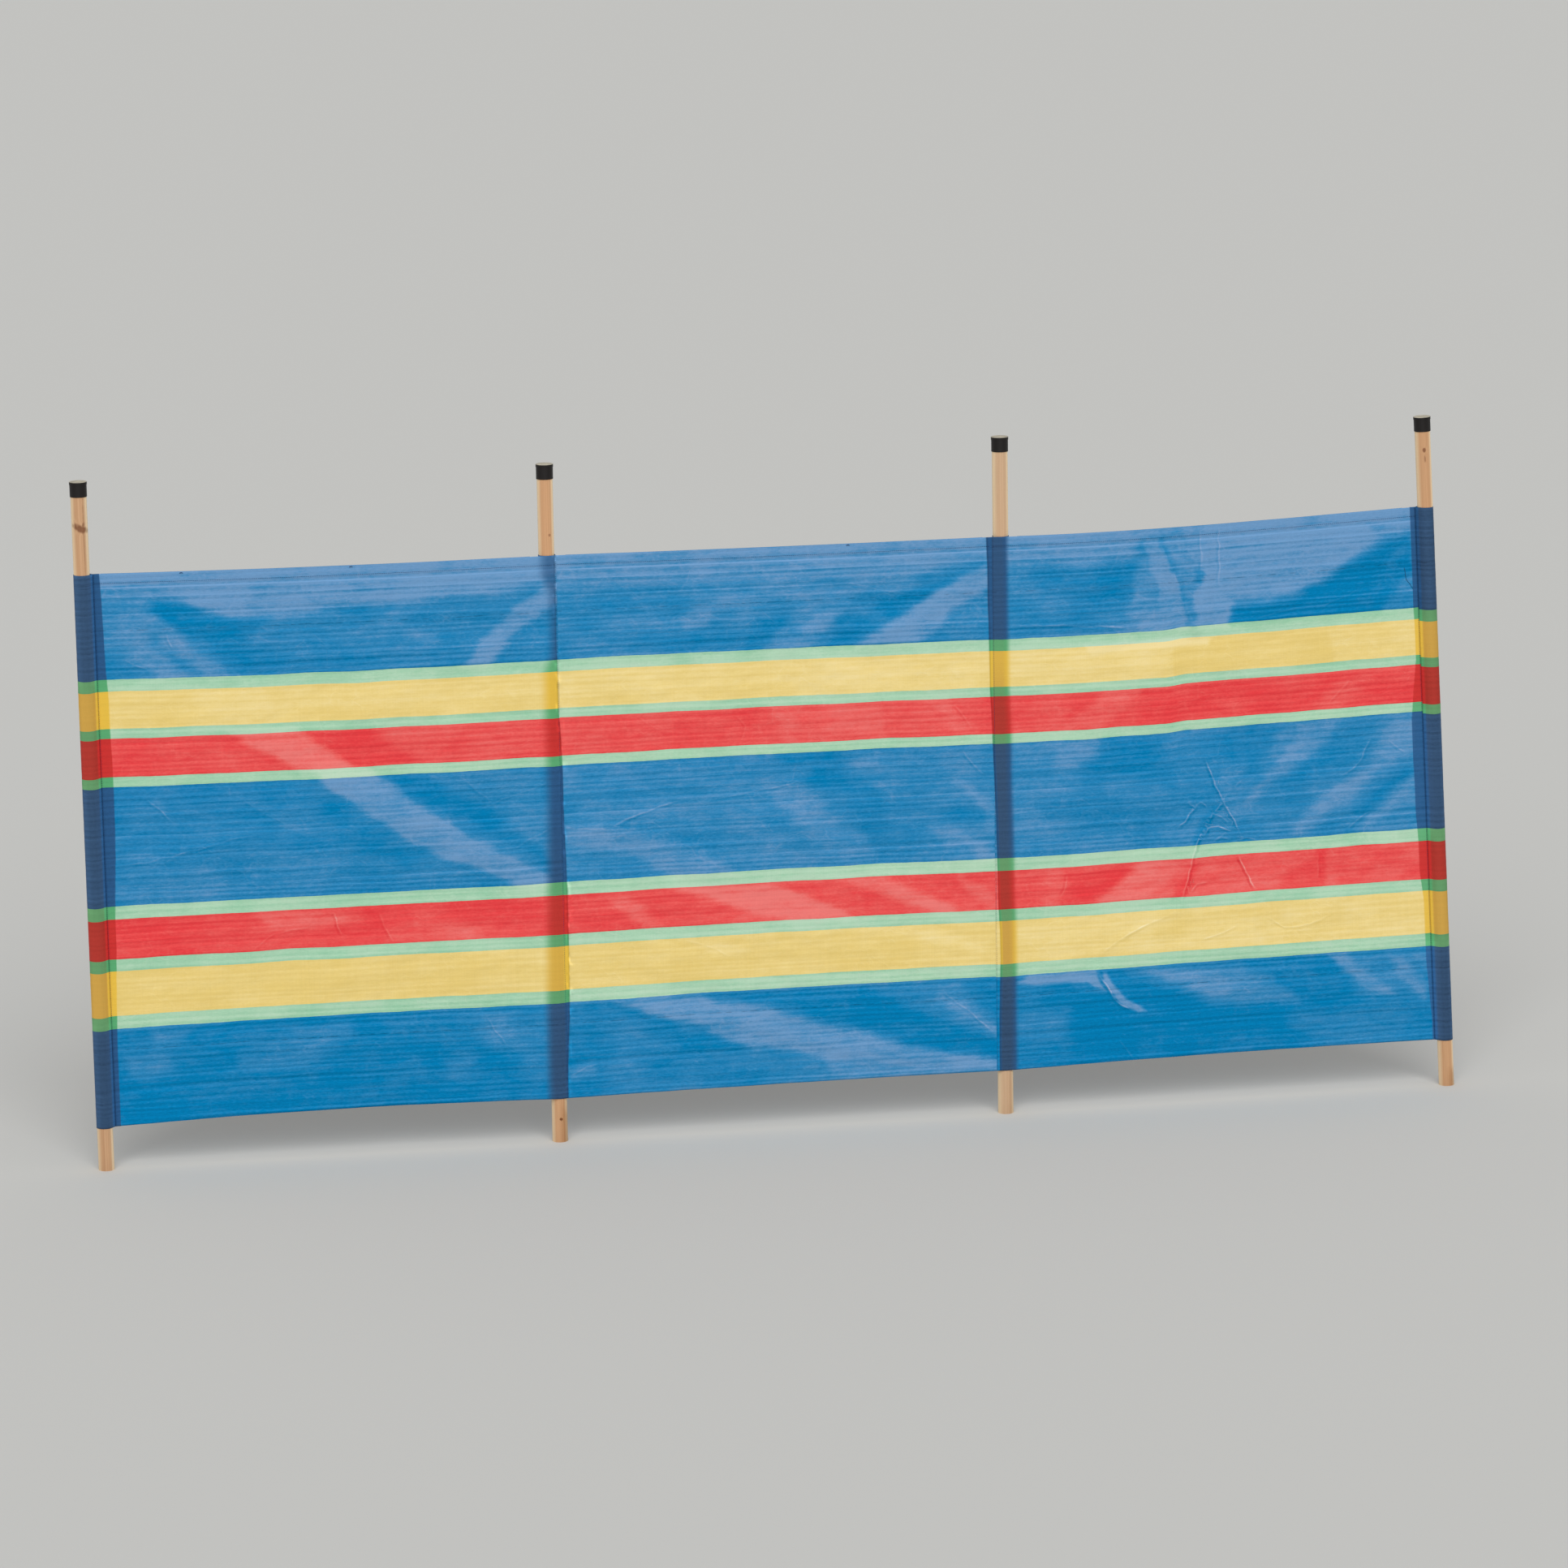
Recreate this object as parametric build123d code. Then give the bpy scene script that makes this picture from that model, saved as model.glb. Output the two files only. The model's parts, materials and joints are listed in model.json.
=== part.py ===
from build123d import *
from math import acos, atan2, cos, degrees, hypot, radians, tan
import os

# Beach windbreak: four round wooden poles carry three bays of woven cloth.
# Sizes are in millimetres and angles in degrees.
# X runs along the cloth, Y points away from the front and Z points up.
# The origin is the middle of the first pole's foot, where it leaves the ground.

# Poles, one value for each where they differ
pole_diameter = 25.0
pole_spacings = [727.0, 732.0, 742.0]
pole_leans = [-0.2, 0.0, 0.0, -2.4]
pole_heights = [1103.0, 1098.0, 1109.0, 1111.0]

# Caps on the pole tops
cap_height = 23.5
cap_wall = 0.8
cap_crown = 2.5
cap_rim_height = 4.5
cap_rim_width = 0.5
cap_edge_radius = 0.8
cap_clearance = 0.1

# Cloth
cloth_thickness = 0.8
cloth_drop = 885.0
cloth_clearances = [68.0, 68.0, 68.0, 76.0]
top_hem_width = 17.0
hem_clearance = 2.0

# Pockets that hold the poles
pocket_clearance = 0.3
end_seam_gap = 3.4
end_flap_width = 10.0
inner_seam_gaps = [0.0, 3.0]
inner_seam_setback = 3.0
layer_clearance = 0.3
bulge_half_width = 4.5
fold_gap = 0.8
loop_tip_gap = 1.5
fold_hem_setback = 15.0

pole_radius = pole_diameter / 2
pocket_inner_radius = pole_radius + pocket_clearance
pocket_outer_radius = pocket_inner_radius + cloth_thickness
end_seam_reach = pocket_outer_radius + end_seam_gap
bulge_y = -(pocket_outer_radius + layer_clearance + cloth_thickness / 2)
inner_seam_y = bulge_y + inner_seam_setback
pole_feet = [sum(pole_spacings[:i]) for i in range(len(pole_spacings) + 1)]


def pole_direction(index):
    """Direction of a pole's axis, leaning in the plane of the cloth."""
    return Vector(tan(radians(pole_leans[index])), 0, 1).normalized()


def pole_point(index, height):
    """Point on a pole's axis at a height above the ground."""
    return Vector(pole_feet[index] + height * tan(radians(pole_leans[index])), 0, height)


def build_pole(index):
    """Round pole, cut level where it leaves the ground and square under its cap."""
    direction = pole_direction(index)
    buried = pole_diameter
    end = pole_point(index, pole_heights[index]) - direction * cap_crown
    start = pole_point(index, 0) - direction * buried
    section = Plane(start, z_dir=direction) * Circle(pole_radius)
    rod = extrude(section, amount=(end - start).length)
    return split(rod, bisect_by=Plane.XY, keep=Keep.TOP)


def build_cap(index):
    """Moulded cap with a closed crown, pushed over the end of a pole."""
    bore_radius = pole_radius + cap_clearance
    body_radius = bore_radius + cap_wall
    body = Cylinder(body_radius, cap_height, align=(Align.CENTER, Align.CENTER, Align.MAX))
    rim = Cylinder(
        body_radius + cap_rim_width,
        cap_rim_height,
        align=(Align.CENTER, Align.CENTER, Align.MAX),
    )
    cap = body + rim
    cap = fillet(cap.edges().group_by(Axis.Z)[-1], cap_edge_radius)
    bore = Pos(0, 0, -cap_crown) * Cylinder(
        bore_radius,
        cap_height,
        align=(Align.CENTER, Align.CENTER, Align.MAX),
    )
    crown = pole_point(index, pole_heights[index])
    return Plane(crown, z_dir=pole_direction(index)).location * (cap - bore)


def teardrop(radius, tip):
    """Face of a circle about the origin, drawn out to a tip by its two tangents."""
    tip_angle = degrees(atan2(tip.Y, tip.X))
    tangent_angle = degrees(acos(radius / hypot(tip.X, tip.Y)))
    arc = CenterArc((0, 0), radius, tip_angle + tangent_angle, 360 - 2 * tangent_angle)
    sides = [Line(tip, arc @ 0), Line(arc @ 1, tip)]
    return make_face([sides[0], arc, sides[1]])


def sweep_along_pole(section, index):
    """Carry a level section up a pole over the height of the cloth."""
    direction = pole_direction(index)
    start = Location(pole_point(index, cloth_clearances[index]))
    return extrude(start * section, amount=cloth_drop / direction.Z, dir=direction)


def build_end_pocket(index, side):
    """Cloth turned round an end pole and sewn back to itself with a flat flap."""
    tip = Vector(side * end_seam_reach, 0)
    flap_start = side * pocket_outer_radius
    flap_end = side * (end_seam_reach + end_flap_width)
    flap = Pos((flap_start + flap_end) / 2, cloth_thickness / 2) * Rectangle(
        abs(flap_end - flap_start), cloth_thickness
    )
    section = teardrop(pocket_outer_radius, tip) + flap - Circle(pocket_inner_radius)
    return sweep_along_pole(section, index)


def inner_seam(index, side):
    """Sewn line of an inner pocket, relative to its pole's axis."""
    gap = inner_seam_gaps[index - 1]
    return Vector(side * (pocket_outer_radius + gap), inner_seam_y)


def build_inner_pocket(index, side):
    """Loop of cloth round an inner pole, closed behind the seam."""
    seam = inner_seam(index, side)
    tip = seam - seam.normalized() * loop_tip_gap
    section = teardrop(pocket_outer_radius, tip) - Circle(pocket_inner_radius)
    return sweep_along_pole(section, index)


def cloth_point(pole, offset, y, bay, level):
    """Point of a bay's cloth at its bottom (level 0) to top (level 1) edge."""
    height = cloth_clearances[pole] + level * cloth_drop
    x = pole_point(pole, height).X + offset
    heights = [cloth_clearances[i] + level * cloth_drop for i in (bay, bay + 1)]
    ends = [pole_point(i, h).X for i, h in zip((bay, bay + 1), heights)]
    share = (x - ends[0]) / (ends[1] - ends[0])
    return Vector(x, y, heights[0] + share * (heights[1] - heights[0]))


def slab(bottom_points, top_points):
    """Thin sheet behind two lines of points, ruled from the bottom to the top."""
    back = Vector(0, cloth_thickness, 0)
    faces = []
    for points in (bottom_points, top_points):
        outline = points + [point + back for point in reversed(points)]
        faces.append(make_face(Polyline(*outline, close=True)))
    return loft(faces, ruled=True)


def bay_course(bay):
    """Front line of a bay's cloth: its pole, offset from it and Y for each point."""
    front = -cloth_thickness / 2
    first_side, last_side = 1, -1
    if bay == 0:
        seam = inner_seam(1, first_side)
        return [
            (0, first_side * end_seam_reach, -cloth_thickness),
            (1, -bulge_half_width, bulge_y + front),
            (1, bulge_half_width, bulge_y + front),
            (1, seam.X - fold_gap, seam.Y + front),
        ]
    if bay == 1:
        left = inner_seam(1, first_side)
        right = inner_seam(2, last_side)
        return [(1, left.X, left.Y + front), (2, right.X, right.Y + front)]
    seam = inner_seam(2, last_side)
    return [
        (2, seam.X + fold_gap, seam.Y + front),
        (2, -bulge_half_width, bulge_y + front),
        (2, bulge_half_width, bulge_y + front),
        (3, last_side * end_seam_reach, -cloth_thickness),
    ]


def build_bay(bay):
    """Stretched cloth of one bay."""
    course = bay_course(bay)
    rows = [[cloth_point(*stop, bay, level) for stop in course] for level in (0, 1)]
    return slab(*rows)


def hem_span(bay):
    """The stretch of a bay's course behind which its top hem lies, and the hem's ends."""
    course = bay_course(bay)
    beside_flap = end_flap_width + hem_clearance
    beside_loop = pocket_outer_radius + hem_clearance - bulge_half_width
    if bay == 0:
        return course[0], course[1], beside_flap, beside_loop
    if bay == 1:
        return course[0], course[1], fold_hem_setback, fold_hem_setback
    return course[2], course[3], beside_loop, beside_flap


def build_top_hem(bay):
    """Folded edge of the cloth, lying flat against its back along the top."""
    first, last, first_margin, last_margin = hem_span(bay)
    rows = []
    for level in (1 - top_hem_width / cloth_drop, 1):
        start = cloth_point(*first, bay, level)
        end = cloth_point(*last, bay, level)
        run = (end - start).length
        ends = [
            start + (end - start) * (first_margin / run),
            end - (end - start) * (last_margin / run),
        ]
        rows.append([point + Vector(0, cloth_thickness, 0) for point in ends])
    return slab(*rows)


def build_windbreak():
    """Every piece of the windbreak by name."""
    pieces = {}
    for index in range(len(pole_feet)):
        pieces[f"pole_{index + 1}"] = build_pole(index)
        pieces[f"pole_cap_{index + 1}"] = build_cap(index)
    pieces["end_pocket_left"] = build_end_pocket(0, 1)
    pieces["end_pocket_right"] = build_end_pocket(3, -1)
    pieces["inner_pocket_left"] = build_inner_pocket(1, 1)
    pieces["inner_pocket_right"] = build_inner_pocket(2, -1)
    for bay in range(len(pole_spacings)):
        pieces[f"cloth_bay_{bay + 1}"] = build_bay(bay)
        pieces[f"top_hem_{bay + 1}"] = build_top_hem(bay)
    return pieces


os.makedirs("parts", exist_ok=True)
for name, piece in build_windbreak().items():
    export_step(piece, f"parts/{name}.step")
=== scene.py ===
"""Visual model of a beach windbreak: striped woven cloth on four wooden poles.

Everything is in metres in the part's own frame: X runs along the cloth, Y points away from the front, Z points up,
and the origin is the middle of the first pole's foot. A place on the cloth is given as (u, v): u metres along a
bay's front from its left edge, and v metres down from its top edge.
"""

from __future__ import annotations

import json
import logging
from dataclasses import dataclass, field
from enum import Enum
from typing import Sequence

import bpy
import numpy as np
from mathutils import Matrix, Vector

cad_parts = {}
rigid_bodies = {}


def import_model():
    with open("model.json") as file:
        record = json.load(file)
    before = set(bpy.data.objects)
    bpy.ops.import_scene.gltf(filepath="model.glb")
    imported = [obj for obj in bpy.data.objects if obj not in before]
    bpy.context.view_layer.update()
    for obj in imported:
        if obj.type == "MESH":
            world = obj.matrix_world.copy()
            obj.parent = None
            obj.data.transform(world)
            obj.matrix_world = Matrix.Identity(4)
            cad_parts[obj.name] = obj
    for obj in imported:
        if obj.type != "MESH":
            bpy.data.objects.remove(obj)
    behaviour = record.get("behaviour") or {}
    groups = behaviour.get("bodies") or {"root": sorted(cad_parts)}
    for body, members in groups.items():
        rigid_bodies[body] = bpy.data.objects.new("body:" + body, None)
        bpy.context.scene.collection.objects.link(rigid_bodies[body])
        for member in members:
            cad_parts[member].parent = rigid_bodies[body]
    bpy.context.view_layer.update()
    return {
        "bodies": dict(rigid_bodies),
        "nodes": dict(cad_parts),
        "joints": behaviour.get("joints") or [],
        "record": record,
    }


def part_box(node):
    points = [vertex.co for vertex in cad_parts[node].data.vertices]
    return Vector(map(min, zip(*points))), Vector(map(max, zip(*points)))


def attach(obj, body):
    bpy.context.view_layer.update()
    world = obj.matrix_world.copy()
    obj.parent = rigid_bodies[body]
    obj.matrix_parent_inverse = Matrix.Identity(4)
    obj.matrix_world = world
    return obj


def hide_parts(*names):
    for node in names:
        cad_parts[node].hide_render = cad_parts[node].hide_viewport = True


Colour = tuple[float, float, float, float]
Marks = dict[str, np.ndarray]
Array = np.ndarray
Socket = bpy.types.NodeSocket
Material = bpy.types.Material

LOG = logging.getLogger("windbreak")


def srgb(red: int, green: int, blue: int) -> Colour:
    """Turn a display colour into the linear colour that a shader socket takes.

    Args:
        red, green, blue: channels from 0 to 255.

    Returns:
        Linear red, green, blue and an alpha of 1.
    """
    shown = np.array([red, green, blue]) / 255
    linear = np.where(shown <= 0.04045, shown / 12.92, ((shown + 0.055) / 1.055) ** 2.4)
    return (float(linear[0]), float(linear[1]), float(linear[2]), 1.0)


def smooth_step(value: Array, low: float, high: float) -> Array:
    """Rise smoothly from 0 at low to 1 at high, as 3t^2 - 2t^3 of the share t between them."""
    share = np.clip((value - low) / (high - low), 0, 1)
    return share * share * (3 - 2 * share)


def ripples(u: Array, v: Array, seed: int, size: float, squeeze: float = 1.0) -> Array:
    """Soft irregular unevenness: the mean of nine sine waves whose directions and phases are drawn from a seed.

    Args:
        u, v: places on the surface, in metres.
        seed: picks one pattern.
        size: typical length of one wave, in metres.
        squeeze: how many times shorter the waves are along v than along u.

    Returns:
        Values of about -1 to 1.
    """
    draw = np.random.default_rng(seed)
    total = np.zeros(np.broadcast(u, v).shape)
    for angle, phase, stretch in draw.random((9, 3)):
        turn = 2 * np.pi * angle
        pace = 2 * np.pi / (size * (0.6 + 0.9 * stretch))
        total += np.sin(pace * (u * np.cos(turn) + v * squeeze * np.sin(turn)) + 2 * np.pi * phase)
    return total / 4


class Signal:
    """A number that varies over a surface. Its operators add the Math nodes that work it out."""

    def __init__(self, shader: Shader, socket: Socket) -> None:
        """Wrap one output socket of a shader's node."""
        self.shader = shader
        self.socket = socket

    def _math(self, operation: str, first: Signal | float, second: Signal | float) -> Signal:
        """Add one Math node for an operation on two values."""
        node = self.shader.node("ShaderNodeMath", {"operation": operation}, {0: first, 1: second})
        return Signal(self.shader, node.outputs[0])

    def __add__(self, other: Signal | float) -> Signal:
        """This value plus another."""
        return self._math("ADD", self, other)

    __radd__ = __add__

    def __sub__(self, other: Signal | float) -> Signal:
        """This value less another."""
        return self._math("SUBTRACT", self, other)

    def __rsub__(self, other: Signal | float) -> Signal:
        """Another value less this one."""
        return self._math("SUBTRACT", other, self)

    def __mul__(self, other: Signal | float) -> Signal:
        """This value times another."""
        return self._math("MULTIPLY", self, other)

    __rmul__ = __mul__

    def __truediv__(self, other: Signal | float) -> Signal:
        """This value divided by another."""
        return self._math("DIVIDE", self, other)

    def above(self, other: Signal | float) -> Signal:
        """1 where this value is above another, or else 0."""
        return self._math("GREATER_THAN", self, other)

    def most(self, other: Signal | float) -> Signal:
        """The larger of this value and another."""
        return self._math("MAXIMUM", self, other)

    def floor(self) -> Signal:
        """The whole number at or under this value."""
        return self._math("FLOOR", self, 0.0)

    def sine(self) -> Signal:
        """The sine of this value, in radians."""
        return self._math("SINE", self, 0.0)

    def root(self) -> Signal:
        """The square root of this value."""
        return self._math("SQRT", self, 0.0)

    def size(self) -> Signal:
        """This value without its sign."""
        return self._math("ABSOLUTE", self, 0.0)

    def step(self, low: float, high: float) -> Signal:
        """Rise smoothly from 0 at low to 1 at high."""
        node = self.shader.node(
            "ShaderNodeMapRange",
            {"interpolation_type": "SMOOTHSTEP"},
            {"Value": self, "From Min": low, "From Max": high},
        )
        return Signal(self.shader, node.outputs["Result"])


class Shader:
    """The node tree of one material, filled through one method that adds any node."""

    def __init__(self, name: str) -> None:
        """Start an empty material."""
        self.material = bpy.data.materials.new(name)
        self.material.use_nodes = True
        self.tree = self.material.node_tree
        self.tree.nodes.clear()

    def node(self, kind: str, settings: dict | None = None, inputs: dict | None = None) -> bpy.types.Node:
        """Add one node.

        Args:
            kind: the node's type.
            settings: its properties, set first. "stops" are a colour ramp's (place, colour) pairs.
            inputs: a value, a Signal or an output socket for each input, by name or place.

        Returns:
            The new node.
        """
        made = self.tree.nodes.new(kind)
        for key, value in (settings or {}).items():
            if key == "stops":
                self._set_stops(made.color_ramp, value)
            elif key == "ramp_interpolation":
                made.color_ramp.interpolation = value
            else:
                setattr(made, key, value)
        for key, value in (inputs or {}).items():
            socket = made.inputs[key]
            if isinstance(value, Signal):
                self.tree.links.new(value.socket, socket)
            elif isinstance(value, Socket):
                self.tree.links.new(value, socket)
            else:
                socket.default_value = value
        return made

    @staticmethod
    def _set_stops(ramp: bpy.types.ColorRamp, stops: Sequence[tuple[float, Colour]]) -> None:
        """Give a colour ramp its stops in order.

        Args:
            ramp: the ramp.
            stops: the place and colour of each stop.
        """
        while len(ramp.elements) > 1:
            ramp.elements.remove(ramp.elements[-1])
        ramp.elements[0].position = stops[0][0]
        ramp.elements[0].color = stops[0][1]
        for place, colour in stops[1:]:
            ramp.elements.new(place).color = colour

    def mark(self, name: str) -> Signal:
        """A number stored on the mesh under a name."""
        made = self.node("ShaderNodeAttribute", {"attribute_name": name})
        return Signal(self, made.outputs["Fac"])

    def split(self, vector: Socket) -> tuple[Signal, Signal, Signal]:
        """The three parts of a vector."""
        parts = self.node("ShaderNodeSeparateXYZ", None, {0: vector}).outputs
        return Signal(self, parts[0]), Signal(self, parts[1]), Signal(self, parts[2])

    def join(self, x: Signal | float, y: Signal | float, z: Signal | float) -> Socket:
        """A vector made from three parts."""
        return self.node("ShaderNodeCombineXYZ", None, {0: x, 1: y, 2: z}).outputs[0]

    def noise(self, place: Socket, detail: float = 2.0, roughness: float = 0.5) -> Signal:
        """Soft noise of about 0 to 1, with features about one unit of place across."""
        made = self.node(
            "ShaderNodeTexNoise",
            {"noise_dimensions": "3D"},
            {"Vector": place, "Scale": 1.0, "Detail": detail, "Roughness": roughness},
        )
        return Signal(self, made.outputs[0])

    def mix(self, share: Signal | float, first: Colour | Socket, second: Colour | Socket) -> Socket:
        """Blend a share of a second colour into a first."""
        return self.node("ShaderNodeMix", {"data_type": "RGBA"}, {0: share, 6: first, 7: second}).outputs[2]

    def scaled(self, colour: Socket | Sequence[float], tone: Signal) -> Socket:
        """A colour made lighter or darker by a tone. A plain colour comes without its alpha."""
        return self.node("ShaderNodeVectorMath", {"operation": "SCALE"}, {0: colour, "Scale": tone}).outputs[0]

    def finish(
        self,
        colour: Socket | Colour,
        roughness: Signal | float,
        height: Signal | None = None,
        relief: float = 0.001,
        **constants: float | Colour,
    ) -> Material:
        """Close the tree with one surface shader.

        Args:
            colour: the base colour.
            roughness: the roughness.
            height: the fine relief, of about 0 to 1.
            relief: how deep that relief is, in metres.
            constants: values for other sockets of the surface shader, with underscores for spaces.

        Returns:
            The finished material.
        """
        inputs: dict = {"Base Color": colour, "Roughness": roughness}
        inputs.update({name.replace("_", " "): value for name, value in constants.items()})
        if height is not None:
            bump = self.node("ShaderNodeBump", None, {"Height": height, "Distance": relief, "Strength": 1.0})
            inputs["Normal"] = bump.outputs[0]
        surface = self.node("ShaderNodeBsdfPrincipled", None, inputs)
        self.node("ShaderNodeOutputMaterial", None, {"Surface": surface.outputs[0]})
        return self.material


class Stripe(Enum):
    """The dyed colours of the cloth."""

    BLUE = "blue"
    MINT = "mint"
    YELLOW = "yellow"
    RED = "red"


STRIPE_WIDTHS: tuple[tuple[Stripe, float], ...] = (
    (Stripe.BLUE, 0.1675),
    (Stripe.MINT, 0.0190),
    (Stripe.YELLOW, 0.0595),
    (Stripe.MINT, 0.0155),
    (Stripe.RED, 0.0615),
    (Stripe.MINT, 0.0160),
    (Stripe.BLUE, 0.1905),
    (Stripe.MINT, 0.0210),
    (Stripe.RED, 0.0640),
    (Stripe.MINT, 0.0195),
    (Stripe.YELLOW, 0.0720),
    (Stripe.MINT, 0.0210),
    (Stripe.BLUE, 0.1580),
)


@dataclass(frozen=True)
class Palette:
    """How each stripe looks in one state of the cloth."""

    blue: Colour
    mint: Colour
    yellow: Colour
    red: Colour

    def of(self, stripe: Stripe) -> Colour:
        """The colour of one stripe."""
        return getattr(self, stripe.value)


@dataclass(frozen=True)
class Pattern:
    """Noise over the cloth: its features to the metre along and down, a layer that sets it apart, and its detail."""

    along: float
    down: float
    layer: float
    detail: float = 1.0
    roughness: float = 0.5

    def over(self, shader: Shader, u: Signal, v: Signal) -> Signal:
        """The noise at each place, of about 0 to 1."""
        return shader.noise(shader.join(u * self.along, v * self.down, self.layer), self.detail, self.roughness)


CLOTH_PATTERNS: dict[str, Pattern] = {
    "hair": Pattern(9.0, 1100.0, 4.0),
    "wander": Pattern(1.2, 22.0, 9.0),
    "ribbed": Pattern(1.1, 90.0, 41.0),
    "band": Pattern(0.9, 70.0, 31.0, 3.0, 0.6),
    "streak": Pattern(3.0, 260.0, 21.0, 2.0),
    "mottle": Pattern(38.0, 90.0, 5.0, 3.0, 0.6),
    "cloud": Pattern(7.0, 12.0, 2.0, 3.0),
    "grit": Pattern(170.0, 400.0, 6.0),
    "weft": Pattern(330.0, 5.0, 6.0),
    "ragged": Pattern(55.0, 40.0, 3.0),
    "speck": Pattern(150.0, 520.0, 7.0),
    "warp": Pattern(30.0, 30.0, 51.0, 2.0),
    "broken": Pattern(60.0, 30.0, 12.0, 2.0),
}
# Drift changes from tape to tape: it counts tapes instead of metres downwards.
DRIFT = Pattern(5.0, 7.3, 1.0, 2.0)

# Amounts of each detail: in the level of painted sheen, in the painted highlight and shade at creases, in the tone
# by each stripe's contrast, in the tone of every stripe alike, and in the relief.
LEVEL_AMOUNTS: dict[str, float] = {
    "mottle": 0.6, "streak": 0.4, "band": 0.4, "cloud": 0.3, "drift": 0.15, "grit": 0.2,
    "rib": 0.08, "speck": 0.2, "wrinkle": 0.12, "pale_tape": 0.1, "under_hem": 0.3,
}
CREASE_AMOUNTS: dict[str, float] = {"ridge": 0.75, "shade": -0.4}
CONTRAST_AMOUNTS: dict[str, float] = {"rib": 0.1, "band": 0.3, "grit": 0.28, "hair": 0.2, "pale_tape": 0.12}
# Painted shade along the hem's seam darkens the tone; the painted highlight under the hem lightens it.
TONE_AMOUNTS: dict[str, float] = {
    "under_hem": 0.2, "weft": 0.05, "dark_tape": -0.3, "hem_seam": -0.16, "shade": -0.1, "stripe_edge": -0.09,
}
RELIEF_AMOUNTS: dict[str, float] = {"across": 0.6, "along": 0.4, "mottle": 0.8, "ridge": 4.0, "wrinkle": 1.0}


@dataclass(frozen=True)
class StripedCloth:
    """Half-gloss cloth woven from flat plastic tapes, with stripes across its height.

    The deep, fair and pale palettes are the cloth with the least, some and the most painted sheen, the pale one a
    painted sky reflection. The palette of doubled cloth is two layers of it, darker by painted shade as less light
    comes through from behind, and the next one two layers with the painted shadow of a pole behind. The contrast
    palette is in
    greys: how strongly the tone of each stripe varies from tape to tape. The odd tapes, the hem's lines of painted
    shade and highlight, and the dim stretch of painted pole shadow in front of a pole are places down the cloth.
    """

    tape: float = 0.0025
    fray: float = 0.0009
    rib_pace: float = 690.0
    rib_wander: float = 15.0
    deep: Palette = Palette(srgb(0, 119, 173), srgb(146, 196, 163), srgb(224, 197, 118), srgb(224, 62, 66))
    fair: Palette = Palette(srgb(53, 131, 181), srgb(169, 206, 177), srgb(231, 207, 136), srgb(229, 91, 88))
    pale: Palette = Palette(srgb(142, 166, 202), srgb(200, 218, 198), srgb(242, 226, 176), srgb(233, 144, 138))
    doubled: Palette = Palette(srgb(43, 85, 129), srgb(88, 164, 112), srgb(223, 184, 72), srgb(198, 52, 50))
    backed: Palette = Palette(srgb(53, 79, 110), srgb(98, 149, 102), srgb(197, 155, 73), srgb(170, 56, 48))
    contrast: Palette = Palette(srgb(255, 255, 255), srgb(140, 140, 140), srgb(97, 97, 97), srgb(188, 188, 188))
    pale_tapes: tuple[float, ...] = (0.0375, 0.0650, 0.1370, 0.3680, 0.4190, 0.5030)
    dark_tapes: tuple[float, ...] = (0.0900, 0.7620)
    hem_seam: float = 0.0172
    under_hem: float = 0.0225
    dim_stretch: tuple[float, float] = (0.73, 0.76)
    level_span: tuple[float, float] = (-0.15, 0.95)
    shine_gain: float = 1.25
    shine_least: float = -0.28
    fair_from: float = -0.2
    fair_span: float = 0.7
    pale_from: float = 0.3
    roughness: float = 0.42
    weave_depth: float = 0.00012

    def material(self) -> Material:
        """Build the cloth's material."""
        return ClothPaint(self).finished()


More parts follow.
